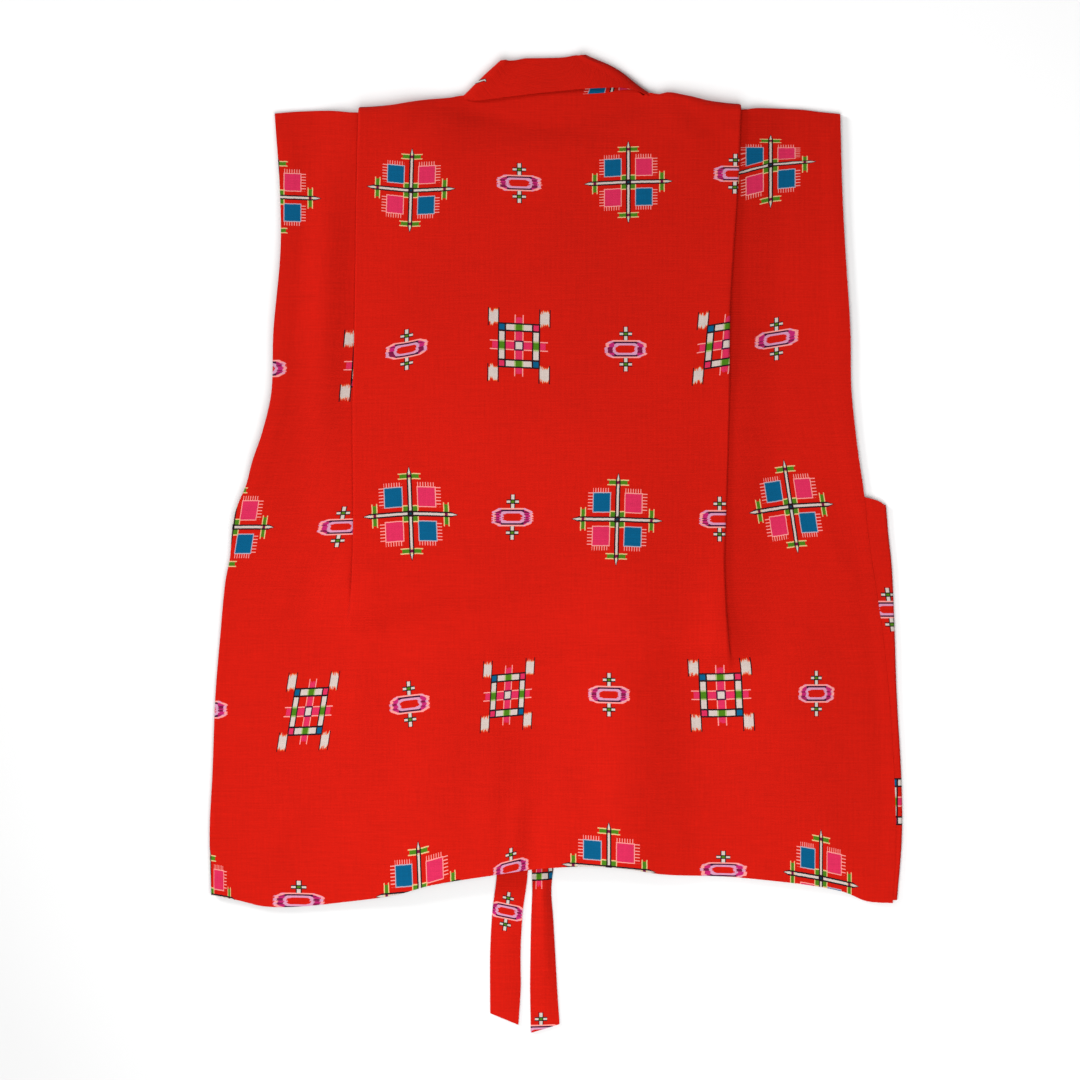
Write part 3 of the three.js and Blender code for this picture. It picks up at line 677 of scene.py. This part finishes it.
# ---------- figures ----------
# Woven-look figures on the back, where they lie as laid out. wide and tall stretch a figure, lean
# is how far its upright lines move across for each millimetre up, and left and right are how
# steeply its level lines rise to each side of its middle. Three more numbers, where the cloth is
# pulled, squeeze what is above the middle and give the two slopes there.
# Columns: kind, panel, x, y, wide, tall, lean, left, right.
BACK_FIGURES = [
    ("cross", "left", -139.3, 173, 1, 1, 0, -0.04, -0.04),
    ("cross", "centre", -72.3, 175.9, 1, 1, 0.03, -0.11, 0.05),
    ("oval", "centre", -18.3, 179.5, 0.99, 0.98, 0, -0.03, -0.03),
    ("cross", "centre", 36, 180, 1, 0.98, 0, 0.05, 0.02),
    ("oval", "centre", 89.2, 184.3, 0.95, 0.98, 0.02, 0, 0),
    ("cross", "right", 107.1, 189.2, 1.03, 1.04, 0, 0.277, 0.085, 0.68, 0, 0),
    ("oval", "left", -145.8, 87, 1, 1.05, 0, 0.05, 0.05),
    ("well", "left", -91, 88.7, 1, 1, 0.08, 0, 0),
    ("oval", "centre", -74.4, 96.6, 0.93, 1, 0, 0.12, 0.24),
    ("well", "centre", -18.5, 98.5, 0.97, 1.03, 0.01, -0.05, -0.05),
    ("oval", "centre", 34.7, 96.8, 0.92, 1.1, 0, 0, 0),
    ("well", "centre", 85, 99.4, 0.97, 1.02, 0.09, 0.16, 0.16),
    ("oval", "right", 110.1, 102.2, 0.97, 1.05, 0, 0.16, 0.16),
    ("cross", "left", -161.8, 8.2, 0.95, 1.1, 0.156, 0, 0),
    ("oval", "left", -107.5, 8.3, 1, 1, 0.2, 0.03, 0.03),
    ("cross", "centre", -72.5, 14.9, 1.07, 1.12, -0.04, 0.083, -0.033),
    ("oval", "centre", -21.7, 13.1, 0.91, 1.12, 0.02, 0, 0),
    ("cross", "centre", 30.4, 12, 1.02, 1.1, 0.028, -0.01, -0.04),
    ("oval", "centre", 81.5, 12.2, 0.9, 1.1, 0, 0, 0),
    ("cross", "right", 117.3, 18.5, 0.97, 1.12, -0.153, 0.16, 0.05),
    ("oval", "left", -174.7, -83, 0.93, 1.1, 0, 0, 0),
    ("well", "left", -123.7, -83.9, 0.8, 1.1, 0.16, 0.03, 0.05),
    ("oval", "centre", -73, -80, 0.89, 1.12, -0.05, 0.14, 0.1),
    ("well", "centre", -24.2, -75.6, 0.8, 1, 0.05, 0.08, 0.08),
    ("oval", "centre", 26.4, -75.3, 0.91, 1.07, 0, -0.02, -0.02),
    ("well", "centre", 82.4, -75.7, 1, 1.02, -0.05, 0, 0.05),
    ("oval", "right", 129.8, -74.8, 0.79, 1.12, 0, 0, 0),
    ("cross", "left", -172.9, -175.9, 0.58, 1.13, 0, 0, -0.2),
    ("oval", "left", -128.5, -178.5, 1.14, 1, 0, 0, -0.04),
    ("cross", "centre", -67.8, -174.2, 1, 1.24, -0.036, 0.08, 0.3),
    ("oval", "centre", -22.5, -161.8, 0.78, 1, 0, 0.3, 0.2),
    ("cross", "centre", 26.3, -161.7, 1.06, 1.1, 0, -0.08, -0.1),
    ("oval", "centre", 83.5, -163, 1.03, 0.94, 0, 0, -0.04),
    ("cross", "right", 132.2, -167, 0.85, 1.17, 0, -0.17, -0.23),
]
STRIP_FIGURES = [
    ("oval", "strip", 166.8, -33, 1, 1.08, -0.137, 0, 0),
    ("well", "strip", 177.5, -128.9, 1, 1.08, 0, 0, 0),
]
TIE_FIGURES = {
    -1: [("oval", "tie", -24.6, -183.8, 0.82, 0.95, 0.115, -0.2, -0.2)],
    1: [
        ("well", "tie", -8.4, -157.6, 0.62, 1, 0, 0, 0.12),
        ("oval", "tie", -7.5, -244.5, 0.9, 1, 0, 0.03, 0.03),
    ],
}
COLLAR_FIGURES = [
    ("cross", "band", 22.4, 218.6, 1, 1, 0.85, 0.03, -0.62),
    ("cross", "band", -64.4, 266.5, 1, 1.5, 0, 0, 0),
    ("oval", "band", 92, 219, 1, 1, 0, 0, 0),
    ("cross", "band", 150, 219, 1, 1, 0, 0, 0),
    ("oval", "band", -124, 219, 1, 1, 0, 0, 0),
    ("cross", "band", -182, 219, 1, 1, 0, 0, 0),
]
# The cloth's repeat, for the figures that the back hides.
REPEAT_ACROSS = 51.5
FRONT_ROWS = [180, 97, 14, -76, -162]
FRONT_FIRST = {-1: -15.5, 1: 62}  # across, from the front's outer edge
BEND = 3.0  # over what distance a figure's level lines turn from one slope to the other
KINDS = ["plain", "cross", "well", "oval"]
REACH = {"cross": (23, 22.5), "well": (17, 19.5), "oval": (13.5, 11)}


def repeat_figures(panel, first):
    """Figures on their regular places: crosses and ovals take turns in one row, ovals and wells
    in the next."""
    figures = []
    for r, y in enumerate(FRONT_ROWS):
        kinds = ("oval", "well") if r % 2 else ("cross", "oval")
        for c in range(4):
            figures.append((kinds[c % 2], panel, first + REPEAT_ACROSS * c, y, 1, 1, 0, 0, 0))
    return figures


def local_places(figure, x, y):
    """Places as the figure sees them: millimetres across and up from its middle."""
    _, _, cx, cy, wide, tall, lean, left, right, *pulled = figure
    dx, dy = x - cx, y - cy
    p = dx - lean * dy
    if pulled:
        above = smooth(dy / 8)
        left, right = mix(left, pulled[1], above), mix(right, pulled[2], above)
    rise = (left + right) / 2 * p + (right - left) / 2 * (np.hypot(p, BEND) - BEND)
    q = (dy - rise) / tall
    if pulled:
        q = np.where(q > 0, q / pulled[0], q)
    return p / wide, q


# ---------- meshes ----------
def wall(points, thick, whole=None):
    """A closed shell of cloth round a grid of middle points, with a rounded rim. Returns its
    vertices, faces, and each vertex's row and column in the grid."""
    rows, columns = points.shape[:2]
    if whole is None:
        whole = np.ones((rows, columns), bool)
    cell = whole[:-1, :-1] & whole[1:, :-1] & whole[:-1, 1:] & whole[1:, 1:]
    across = points[1:, 1:] - points[:-1, :-1]
    slant = points[1:, :-1] - points[:-1, 1:]
    normal = unit(np.cross(across, slant))
    normal[~cell] = 0
    total = np.zeros_like(points)
    used = np.zeros((rows, columns), bool)
    for di in (0, 1):
        for dj in (0, 1):
            corner = (slice(di, rows - 1 + di), slice(dj, columns - 1 + dj))
            total[corner] += normal
            used[corner] |= cell
    offset = unit(total) * thick / 2
    number = np.full((rows, columns), -1)
    number[used] = np.arange(used.sum())
    place = np.argwhere(used)
    count = len(place)
    upper, lower = (points + offset)[used], (points - offset)[used]

    i, j = np.nonzero(cell)
    a, b, c, d = number[i, j], number[i + 1, j], number[i + 1, j + 1], number[i, j + 1]
    top = np.stack([a, d, c, b], axis=1)
    bottom = np.stack([a, b, c, d], axis=1) + count

    # The rim: each open side of a cell gets a middle edge that stands out a little.
    padded = np.pad(cell, 1)
    sides = [
        (padded[:-2, 1:-1], (0, 0), (0, 1)),
        (padded[2:, 1:-1], (1, 1), (1, 0)),
        (padded[1:-1, :-2], (1, 0), (0, 0)),
        (padded[1:-1, 2:], (0, 1), (1, 1)),
    ]
    starts, ends = [], []
    for neighbour, first, second in sides:
        i, j = np.nonzero(cell & ~neighbour)
        starts.append(number[i + first[0], j + first[1]])
        ends.append(number[i + second[0], j + second[1]])
    starts, ends = np.concatenate(starts), np.concatenate(ends)
    # Seen from the upper side, the rim runs so that outward is to the left of start to end.
    out = np.zeros((count, 3))
    middle = (upper + lower) / 2
    direction = unit(np.cross(offset[used][starts], middle[ends] - middle[starts]))
    np.add.at(out, starts, direction)
    np.add.at(out, ends, direction)
    rim = np.unique(np.concatenate([starts, ends]))
    rim_number = np.full(count, -1)
    rim_number[rim] = np.arange(len(rim)) + 2 * count
    bulge = middle[rim] + unit(out)[rim] * thick * RIM_BULGE
    rs, re = rim_number[starts], rim_number[ends]
    rim_top = np.stack([starts, rs, re, ends], axis=1)
    rim_bottom = np.stack([rs, starts + count, ends + count, re], axis=1)

    faces = np.concatenate([top, bottom, rim_top, rim_bottom])
    return np.concatenate([upper, lower, bulge]), faces, np.concatenate([place, place, place[rim]])


def signed_volume(vertices, faces):
    a, b, c, d = (vertices[faces[:, k]] for k in range(4))
    return (np.cross(a, b) * c).sum() / 6 + (np.cross(a, c) * d).sum() / 6


def place(name, data):
    """A new object in the scene."""
    thing = bpy.data.objects.new(name, data)
    bpy.context.scene.collection.objects.link(thing)
    return thing


def build_piece(name, points, thick, across, down, figures, panels=(), whole=None):
    """A cloth piece as an object, with its thread directions and figures in its attributes.
    panels has how far the figures of some panels are moved across, by row."""
    vertices, faces, grid_place = wall(points, thick, whole)
    if signed_volume(vertices, faces) < 0:
        faces = faces[:, ::-1]
    i, j = grid_place.T
    thread = np.stack([across[i, j], down[i, j], np.zeros(len(i))], axis=1)
    mesh = bpy.data.meshes.new(name)
    mesh.from_pydata(vertices * MM, [], faces)
    mesh.validate()

    kind = np.zeros(len(faces), int)
    local = np.zeros((len(faces), 4, 3))
    for number, figure in enumerate(figures):
        offset = panels[figure[1]][i] if figure[1] in panels else 0
        p, q = local_places(figure, thread[:, 0] + offset, thread[:, 1])
        half_wide, half_tall = REACH[figure[0]]
        near = (np.abs(p) < half_wide) & (np.abs(q) < half_tall)
        chosen = near[faces].any(axis=1)
        kind[chosen] = KINDS.index(figure[0])
        corners = faces[chosen]
        seed = np.full(corners.shape, float(number))
        local[chosen] = np.stack([p[corners], q[corners], seed], axis=-1)
    for label, domain, vectors in (("thread", "POINT", thread), ("figure", "CORNER", local)):
        data = mesh.attributes.new(label, "FLOAT_VECTOR", domain).data
        data.foreach_set("vector", vectors.astype(np.float32).ravel())
    for material in CLOTH_MATERIALS:
        mesh.materials.append(material)
    mesh.polygons.foreach_set("material_index", kind)
    mesh.polygons.foreach_set("use_smooth", np.ones(len(faces), bool))
    mesh.set_sharp_from_angle(angle=math.radians(60))
    return place(name, mesh)


# ---------- materials ----------
STAGE_LIGHT = 1.49  # how much brighter than its own colour the stage's light shows a matte thing


def linear(r, g, b):
    """A colour from 0 to 255, as it looks on the stage, in the shader's own numbers."""
    shares = (v / 255 for v in (r, g, b))
    curve = (v / 12.92 if v <= 0.04045 else ((v + 0.055) / 1.055) ** 2.4 for v in shares)
    return tuple(v / STAGE_LIGHT for v in curve) + (1.0,)


INKS = {
    "ground": (206, 23, 8), "blue": (0, 91, 133), "pink": (219, 44, 90), "green": (74, 128, 22),
    "white": (210, 194, 186), "cream": (226, 190, 132), "moss": (166, 184, 116),
    "amber": (232, 112, 52), "black": (36, 18, 24), "blush": (248, 156, 150),
    "slate": (176, 168, 184), "lavender": (214, 150, 182), "magenta": (196, 36, 112),
    "plum": (122, 20, 64), "purple": (64, 14, 52), "teal": (8, 62, 78),
}
INK_NAMES = list(INKS)


def feed(tree, slot, value):
    """Gives a node's slot a number or a field."""
    if isinstance(value, Field):
        tree.links.new(value.socket, slot)
    else:
        slot.default_value = value


def node_math(operation):
    """A method of a field that adds a node for this operation."""
    return lambda field, *others: field.math(operation, *others)


class Field:
    """A number at each point of a surface, held as a node's output. Arithmetic on it adds nodes."""

    def __init__(self, tree, socket):
        self.tree = tree
        self.socket = socket

    def math(self, operation, *others):
        node = self.tree.nodes.new("ShaderNodeMath")
        node.operation = operation
        for slot, value in zip(node.inputs, (self, *others)):
            feed(self.tree, slot, value)
        return Field(self.tree, node.outputs[0])

    __add__ = node_math("ADD")
    __sub__ = node_math("SUBTRACT")
    __mul__ = node_math("MULTIPLY")
    __abs__ = node_math("ABSOLUTE")
    __lt__ = node_math("LESS_THAN")
    __gt__ = node_math("GREATER_THAN")
    least = node_math("MINIMUM")
    most = node_math("MAXIMUM")
    over = node_math("DIVIDE")

    def between(self, low, high):
        return self.math("COMPARE", (low + high) / 2, (high - low) / 2)

    def choose(self, off, on):
        """off where this is 0, on where it is 1."""
        node = self.tree.nodes.new("ShaderNodeMix")
        node.data_type = "FLOAT"
        for slot, value in ((0, self), (2, off), (3, on)):
            feed(self.tree, node.inputs[slot], value)
        return Field(self.tree, node.outputs[0])


def ink(name):
    return float(INK_NAMES.index(name))


def drawing(picture, *layers):
    """A picture's inks with more laid over them in turn, each where its field is 1."""
    for where, name in layers:
        picture = where.choose(picture, name if isinstance(name, Field) else ink(name))
    return picture


def flat_vector(x, y):
    """Two fields as a vector for a texture."""
    node = x.tree.nodes.new("ShaderNodeCombineXYZ")
    for slot, value in zip(node.inputs, (x, y)):
        feed(x.tree, slot, value)
    return node.outputs[0]


def split(tree, vector):
    """A vector's three numbers as fields."""
    node = tree.nodes.new("ShaderNodeSeparateXYZ")
    tree.links.new(vector, node.inputs[0])
    return [Field(tree, output) for output in node.outputs]


def grey(field):
    """A field as a grey colour."""
    node = field.tree.nodes.new("ShaderNodeCombineColor")
    for slot in node.inputs:
        feed(field.tree, slot, field)
    return node.outputs[0]


def jag(along_field, seed, pitch, size):
    """A step that changes at every thread, as dyed threads slip when they are woven."""
    tree = along_field.tree
    node = tree.nodes.new("ShaderNodeTexWhiteNoise")
    node.noise_dimensions = "2D"
    thread = along_field.over(pitch).math("FLOOR")
    tree.links.new(flat_vector(thread, seed), node.inputs["Vector"])
    return (Field(tree, node.outputs["Value"]) - 0.5) * size


def stripes(field, pitch, share):
    return field.over(pitch).math("FRACT") < share


def tapered(far, end, half, slope):
    """Half the width of a bar that narrows to a point at its end."""
    return ((far * -1.0 + end) * slope).least(half)


# The three drawings. Their sizes are millimetres from the figure's middle, p across and q up.
def cross_figure(p, q, seed):
    """Four squares with fringes round a cross of barred lines."""
    ticks_x, ticks_y = stripes(q, 1.45, 0.28), stripes(p, 1.22, 0.3)
    p = p + jag(q, seed, 0.5, 0.12)
    q = q + jag(p, seed, 0.5, 0.15)
    ap, aq = abs(p), abs(q)
    near, far = ap.least(aq), ap.most(aq)
    reach = (ap > aq).choose(20.6, 21.8)
    sx, sy = ap - 7.75, aq - 7.6
    square = abs(sx).most(abs(sy) - 0.2)
    fringe_x = sx.between(4.3, 6.7) * sy.between(-4.3, 4.5) * ticks_x
    fringe_y = sy.between(4.5, 6.5) * sx.between(-4.1, 4.3) * ticks_y
    warm = (p * q) > 0.0
    end = abs(far - 16.7)
    beside_bar = near.between(0.53, 1.2)
    return drawing(
        fringe_x.most(fringe_y) * ink("blush"),
        (square < 4.4, warm.choose(ink("slate"), ink("blush"))),
        (square < 4.0, warm.choose(ink("blue"), ink("pink"))),
        (near < tapered(far, reach + 0.6, 1.2, 0.35), "black"),
        (near < tapered(far, reach, 0.53, 0.22), "white"),
        (end.between(0.85, 1.35) * (near < 5.3), "cream"),
        ((end < 0.85) * near.between(1.15, 4.5), "green"),
        ((end < 1.4) * beside_bar, "black"),
        ((end < 0.7) * (near < 0.53), "plum"),
        ((far < 3.8) * (near > 1.1), "cream"),
        ((far < 3.3) * (near > 1.1), "green"),
        (beside_bar * (far < 3.8), "black"),
        (far < 1.4, "black"),
        ((ap - 0.2).most(aq - 0.1) < 0.35, "teal"),
    )


def well_figure(p, q, seed):
    """A square well frame with a pink cross through it and a flag at each corner."""
    p = p + jag(q, seed, 0.5, 0.1)
    q = q + jag(p, seed, 0.5, 0.12)
    ap, aq = abs(p), abs(q)
    ragged = aq + jag(p, seed, 0.42, 1.9)
    near, far = ap.least(aq), ap.most(aq)
    flag = abs(ap - 13.15)
    turned = (p * q) > 0.0
    frame_dark, frame_light = far.between(6.7, 10.9), far.between(7.45, 10.15)
    return drawing(
        (flag < 2.35) * ragged.between(9.9, 16.9) * ink("amber"),
        ((flag < 2.35) * ragged.between(10.4, 16.4), "white"),
        (flag.between(2.4, 2.95) * aq.between(9.2, 18), "black"),
        (near.between(1.8, 2.3) * (far < 14.9), "blush"),
        ((near < 1.6) * (far.most(ragged) < 13.7), "pink"),
        (frame_dark, "black"),
        (frame_light, "white"),
        (frame_dark * near.between(6.6, 7.45), "black"),
        ((near > 7.45) * (far < 10.15), turned.choose(ink("blue"), ink("pink"))),
        ((near < 2.4) * frame_light, "moss"),
        ((near < 1.65) * frame_light, "green"),
        (far < 2.45, "purple"),
        (far < 1.72, "white"),
    )


def oval_figure(p, q, seed):
    """A long eight-sided ring with stepped ends, and a small lattice mark above and below."""
    ap, aq = abs(p), abs(q)
    slip = jag(q, seed, 0.45, 1.0)
    end = (abs(p + slip) - 4.9) * 0.4 + 1.6
    ring = aq.most(end).most((aq + end) * 0.62)
    at_end = ap > 6.2
    streak = (slip > 0.1) * at_end
    middle = at_end.choose(ink("purple"), streak.choose(ink("magenta"), ink("plum")))
    inner = at_end.choose(2.65, 2.3)
    mark = abs(aq - 6.9)
    upright = mark * (aq > 4.0).choose(9.0, 1.0)
    return drawing(
        (ring < 4.05) * streak.choose(ink("blush"), ink("lavender")),
        ((ring > 1.7) * (ring < 3.4), middle),
        ((ring > 1.7) * (ring < inner), "lavender"),
        (ring < 1.7, "ground"),
        ((ap < 0.95) * (upright < 3.1), "white"),
        ((mark < 0.5) * (ap < 3.3), "white"),
        (ap.between(0.85, 1.35) * (upright < 3.5), "black"),
        (mark.between(0.5, 1.0) * (ap < 3.5), "black"),
        ((ap < 0.85) * (mark < 0.5), "green"),
    )


FIGURE_MAKERS = {"cross": cross_figure, "well": well_figure, "oval": oval_figure}


def attribute(tree, name):
    node = tree.nodes.new("ShaderNodeAttribute")
    node.attribute_name = name
    return split(tree, node.outputs["Vector"])


def streaks(across, up, sizes, detail=2.0):
    """Noise drawn out along the threads: sizes are millimetres across and up."""
    tree = across.tree
    node = tree.nodes.new("ShaderNodeTexNoise")
    node.noise_dimensions = "2D"
    set_inputs(node, {"Scale": 1.0, "Detail": detail})
    vector = flat_vector(across.over(sizes[0]), up.over(sizes[1]))
    tree.links.new(vector, node.inputs["Vector"])
    return Field(tree, node.outputs["Fac"])


def new_material(name):
    """A material, its node tree and its shader."""
    material = bpy.data.materials.new(name)
    material.use_nodes = True
    tree = material.node_tree
    return material, tree, tree.nodes["Principled BSDF"]


def set_inputs(node, values):
    for name, value in values.items():
        node.inputs[name].default_value = value


WARP_PITCH = 0.62
WEFT_PITCH = 0.84


def weave_height(across, up, slub):
    """The threads' height: warp and weft take turns on top, and the weft is uneven."""
    warp = (across * (2 * math.pi / WARP_PITCH)).math("SINE")
    weft = ((up + slub * 0.9) * (2 * math.pi / WEFT_PITCH)).math("SINE")
    return warp * 0.4 + weft * 0.6 + (slub - 0.5) * 0.9


def ink_colours(tree, picture):
    """A drawing's inks as their colours."""
    node = tree.nodes.new("ShaderNodeValToRGB")
    node.color_ramp.interpolation = "CONSTANT"
    stops = node.color_ramp.elements
    while len(stops) < len(INKS):
        stops.new(0.5)
    for k, name in enumerate(INK_NAMES):
        stops[k].position = k / len(INKS)
        stops[k].color = linear(*INKS[name])
    feed(tree, node.inputs[0], (picture + 0.5).over(float(len(INKS))))
    return node.outputs[0]


def cloth_material(kind):
    """Red cloth woven of uneven threads, plain or with one of the figures."""
    material, tree, shader = new_material(f"cloth_{kind}")
    across, up, _ = attribute(tree, "thread")
    slub = streaks(across, up, (16, 0.95))
    fibre = streaks(across, up, (0.8, 12))
    cloud = streaks(across, up, (70, 90), 1.0)
    height = weave_height(across, up, slub)

    # The threads' own uneven tone (slubs, fibres, clouds), plus painted shade where the weave's
    # height is low and painted light where it is high.
    thread_tone_and_weave_shade = (slub - 0.5) * 0.14 + (fibre - 0.5) * 0.16 + (cloud - 0.5) * 0.12 + height * 0.035 + 1.0
    base = tree.nodes.new("ShaderNodeMix")
    base.data_type = "RGBA"
    base.blend_type = "MULTIPLY"
    base.inputs[0].default_value = 1.0
    base.inputs[6].default_value = linear(*INKS["ground"])
    if kind != "plain":
        picture = FIGURE_MAKERS[kind](*attribute(tree, "figure"))
        tree.links.new(ink_colours(tree, picture), base.inputs[6])
    tree.links.new(grey(thread_tone_and_weave_shade), base.inputs[7])
    tree.links.new(base.outputs[2], shader.inputs["Base Color"])

    bump = tree.nodes.new("ShaderNodeBump")
    set_inputs(bump, {"Strength": 0.55, "Distance": 0.12 * MM})
    feed(tree, bump.inputs["Height"], height)
    tree.links.new(bump.outputs[0], shader.inputs["Normal"])
    set_inputs(shader, {"Roughness": 0.88, "Specular IOR Level": 0.06, "Sheen Weight": 0.02})
    set_inputs(shader, {"Sheen Roughness": 0.5, "Sheen Tint": (1.0, 0.4, 0.3, 1.0)})
    return material


CLOTH_MATERIALS = [cloth_material(kind) for kind in KINDS]


def floor_material():
    """A pale sweep, a little darker where more light falls, so that it looks evenly white."""
    material, tree, shader = new_material("pale_floor")
    coordinates = tree.nodes.new("ShaderNodeTexCoord")
    x, y, _ = split(tree, coordinates.outputs["Object"])
    pale = (x * 0.3 + y * 0.28 + 0.7).least(0.9).most(0.55)
    tree.links.new(grey(pale), shader.inputs["Base Color"])
    set_inputs(shader, {"Roughness": 0.9, "Specular IOR Level": 0.1})
    return material


# ---------- pieces ----------
def finish_piece(piece, node):
    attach(piece, "root")
    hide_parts(node)


def make_body():
    points, across, panels = back_shape()
    up = points[:, :, 1]
    back = build_piece("back_cloth", points, CLOTH, across, up, BACK_FIGURES, panels)
    finish_piece(back, "back")
    for sign, name in HANDS:
        points, across, panels, whole = front_shape(sign)
        up = points[:, :, 1]
        figures = repeat_figures("front", FRONT_FIRST[sign])
        if sign > 0:
            figures += STRIP_FIGURES
        label = f"front_{name}_cloth"
        front = build_piece(label, points, CLOTH, across, up, figures, panels, whole)
        finish_piece(front, f"front_{name}")


def make_collar():
    points, along_band, across_band = collar_shape()
    places = along_band, across_band
    collar = build_piece("collar_band", points, CLOTH, *places, COLLAR_FIGURES)
    finish_piece(collar, "collar")


def make_ties():
    for sign, name in HANDS:
        points, across = tie_shape(sign)
        places = across, points[:, :, 1]
        label = f"tie_{name}_cloth"
        tie = build_piece(label, points, TIE_CLOTH, *places, TIE_FIGURES[sign])
        finish_piece(tie, f"tie_{name}")


# ---------- stage ----------
PHOTO_SPAN = 0.54  # metres across the whole frame
PHOTO_MIDDLE = (-0.008, 0.00175)
LENS = 150
SENSOR = 36
FLOOR_HALF = 2.0  # metres
STUDIO_LIGHT = 0.38  # the even light from all round


def make_stage():
    scene = bpy.context.scene
    mesh = bpy.data.meshes.new("floor")
    corners = [(FLOOR_HALF * x, FLOOR_HALF * y, 0) for x, y in ((-1, -1), (1, -1), (1, 1), (-1, 1))]
    mesh.from_pydata(corners, [], [(0, 1, 2, 3)])
    mesh.materials.append(floor_material())
    place("floor", mesh)

    camera = bpy.data.cameras.new("camera")
    camera.lens = LENS
    camera.sensor_width = SENSOR
    scene.camera = place("camera", camera)
    scene.camera.location = (*PHOTO_MIDDLE, PHOTO_SPAN * LENS / SENSOR)

    def area_light(name, azimuth, elevation, distance, size, power):
        light = bpy.data.lights.new(name, "AREA")
        light.shape = "DISK"
        light.size = size
        light.energy = power
        lamp = place(name, light)
        a, e = math.radians(azimuth), math.radians(elevation)
        flat = distance * math.cos(e)
        lamp.location = (flat * math.cos(a), flat * math.sin(a), distance * math.sin(e))
        lamp.rotation_euler = (math.pi / 2 - e, 0, a + math.pi / 2)

    area_light("key", azimuth=150, elevation=23, distance=1.7, size=0.55, power=23.8)
    area_light("fill", azimuth=268, elevation=64, distance=0.7, size=0.8, power=6.7)
    world = bpy.data.worlds.new("studio")
    world.use_nodes = True
    set_inputs(world.node_tree.nodes["Background"], {0: (1, 1, 1, 1), 1: STUDIO_LIGHT})
    scene.world = world
    scene.view_settings.view_transform = "Standard"


make_stage()
make_body()
make_collar()
make_ties()
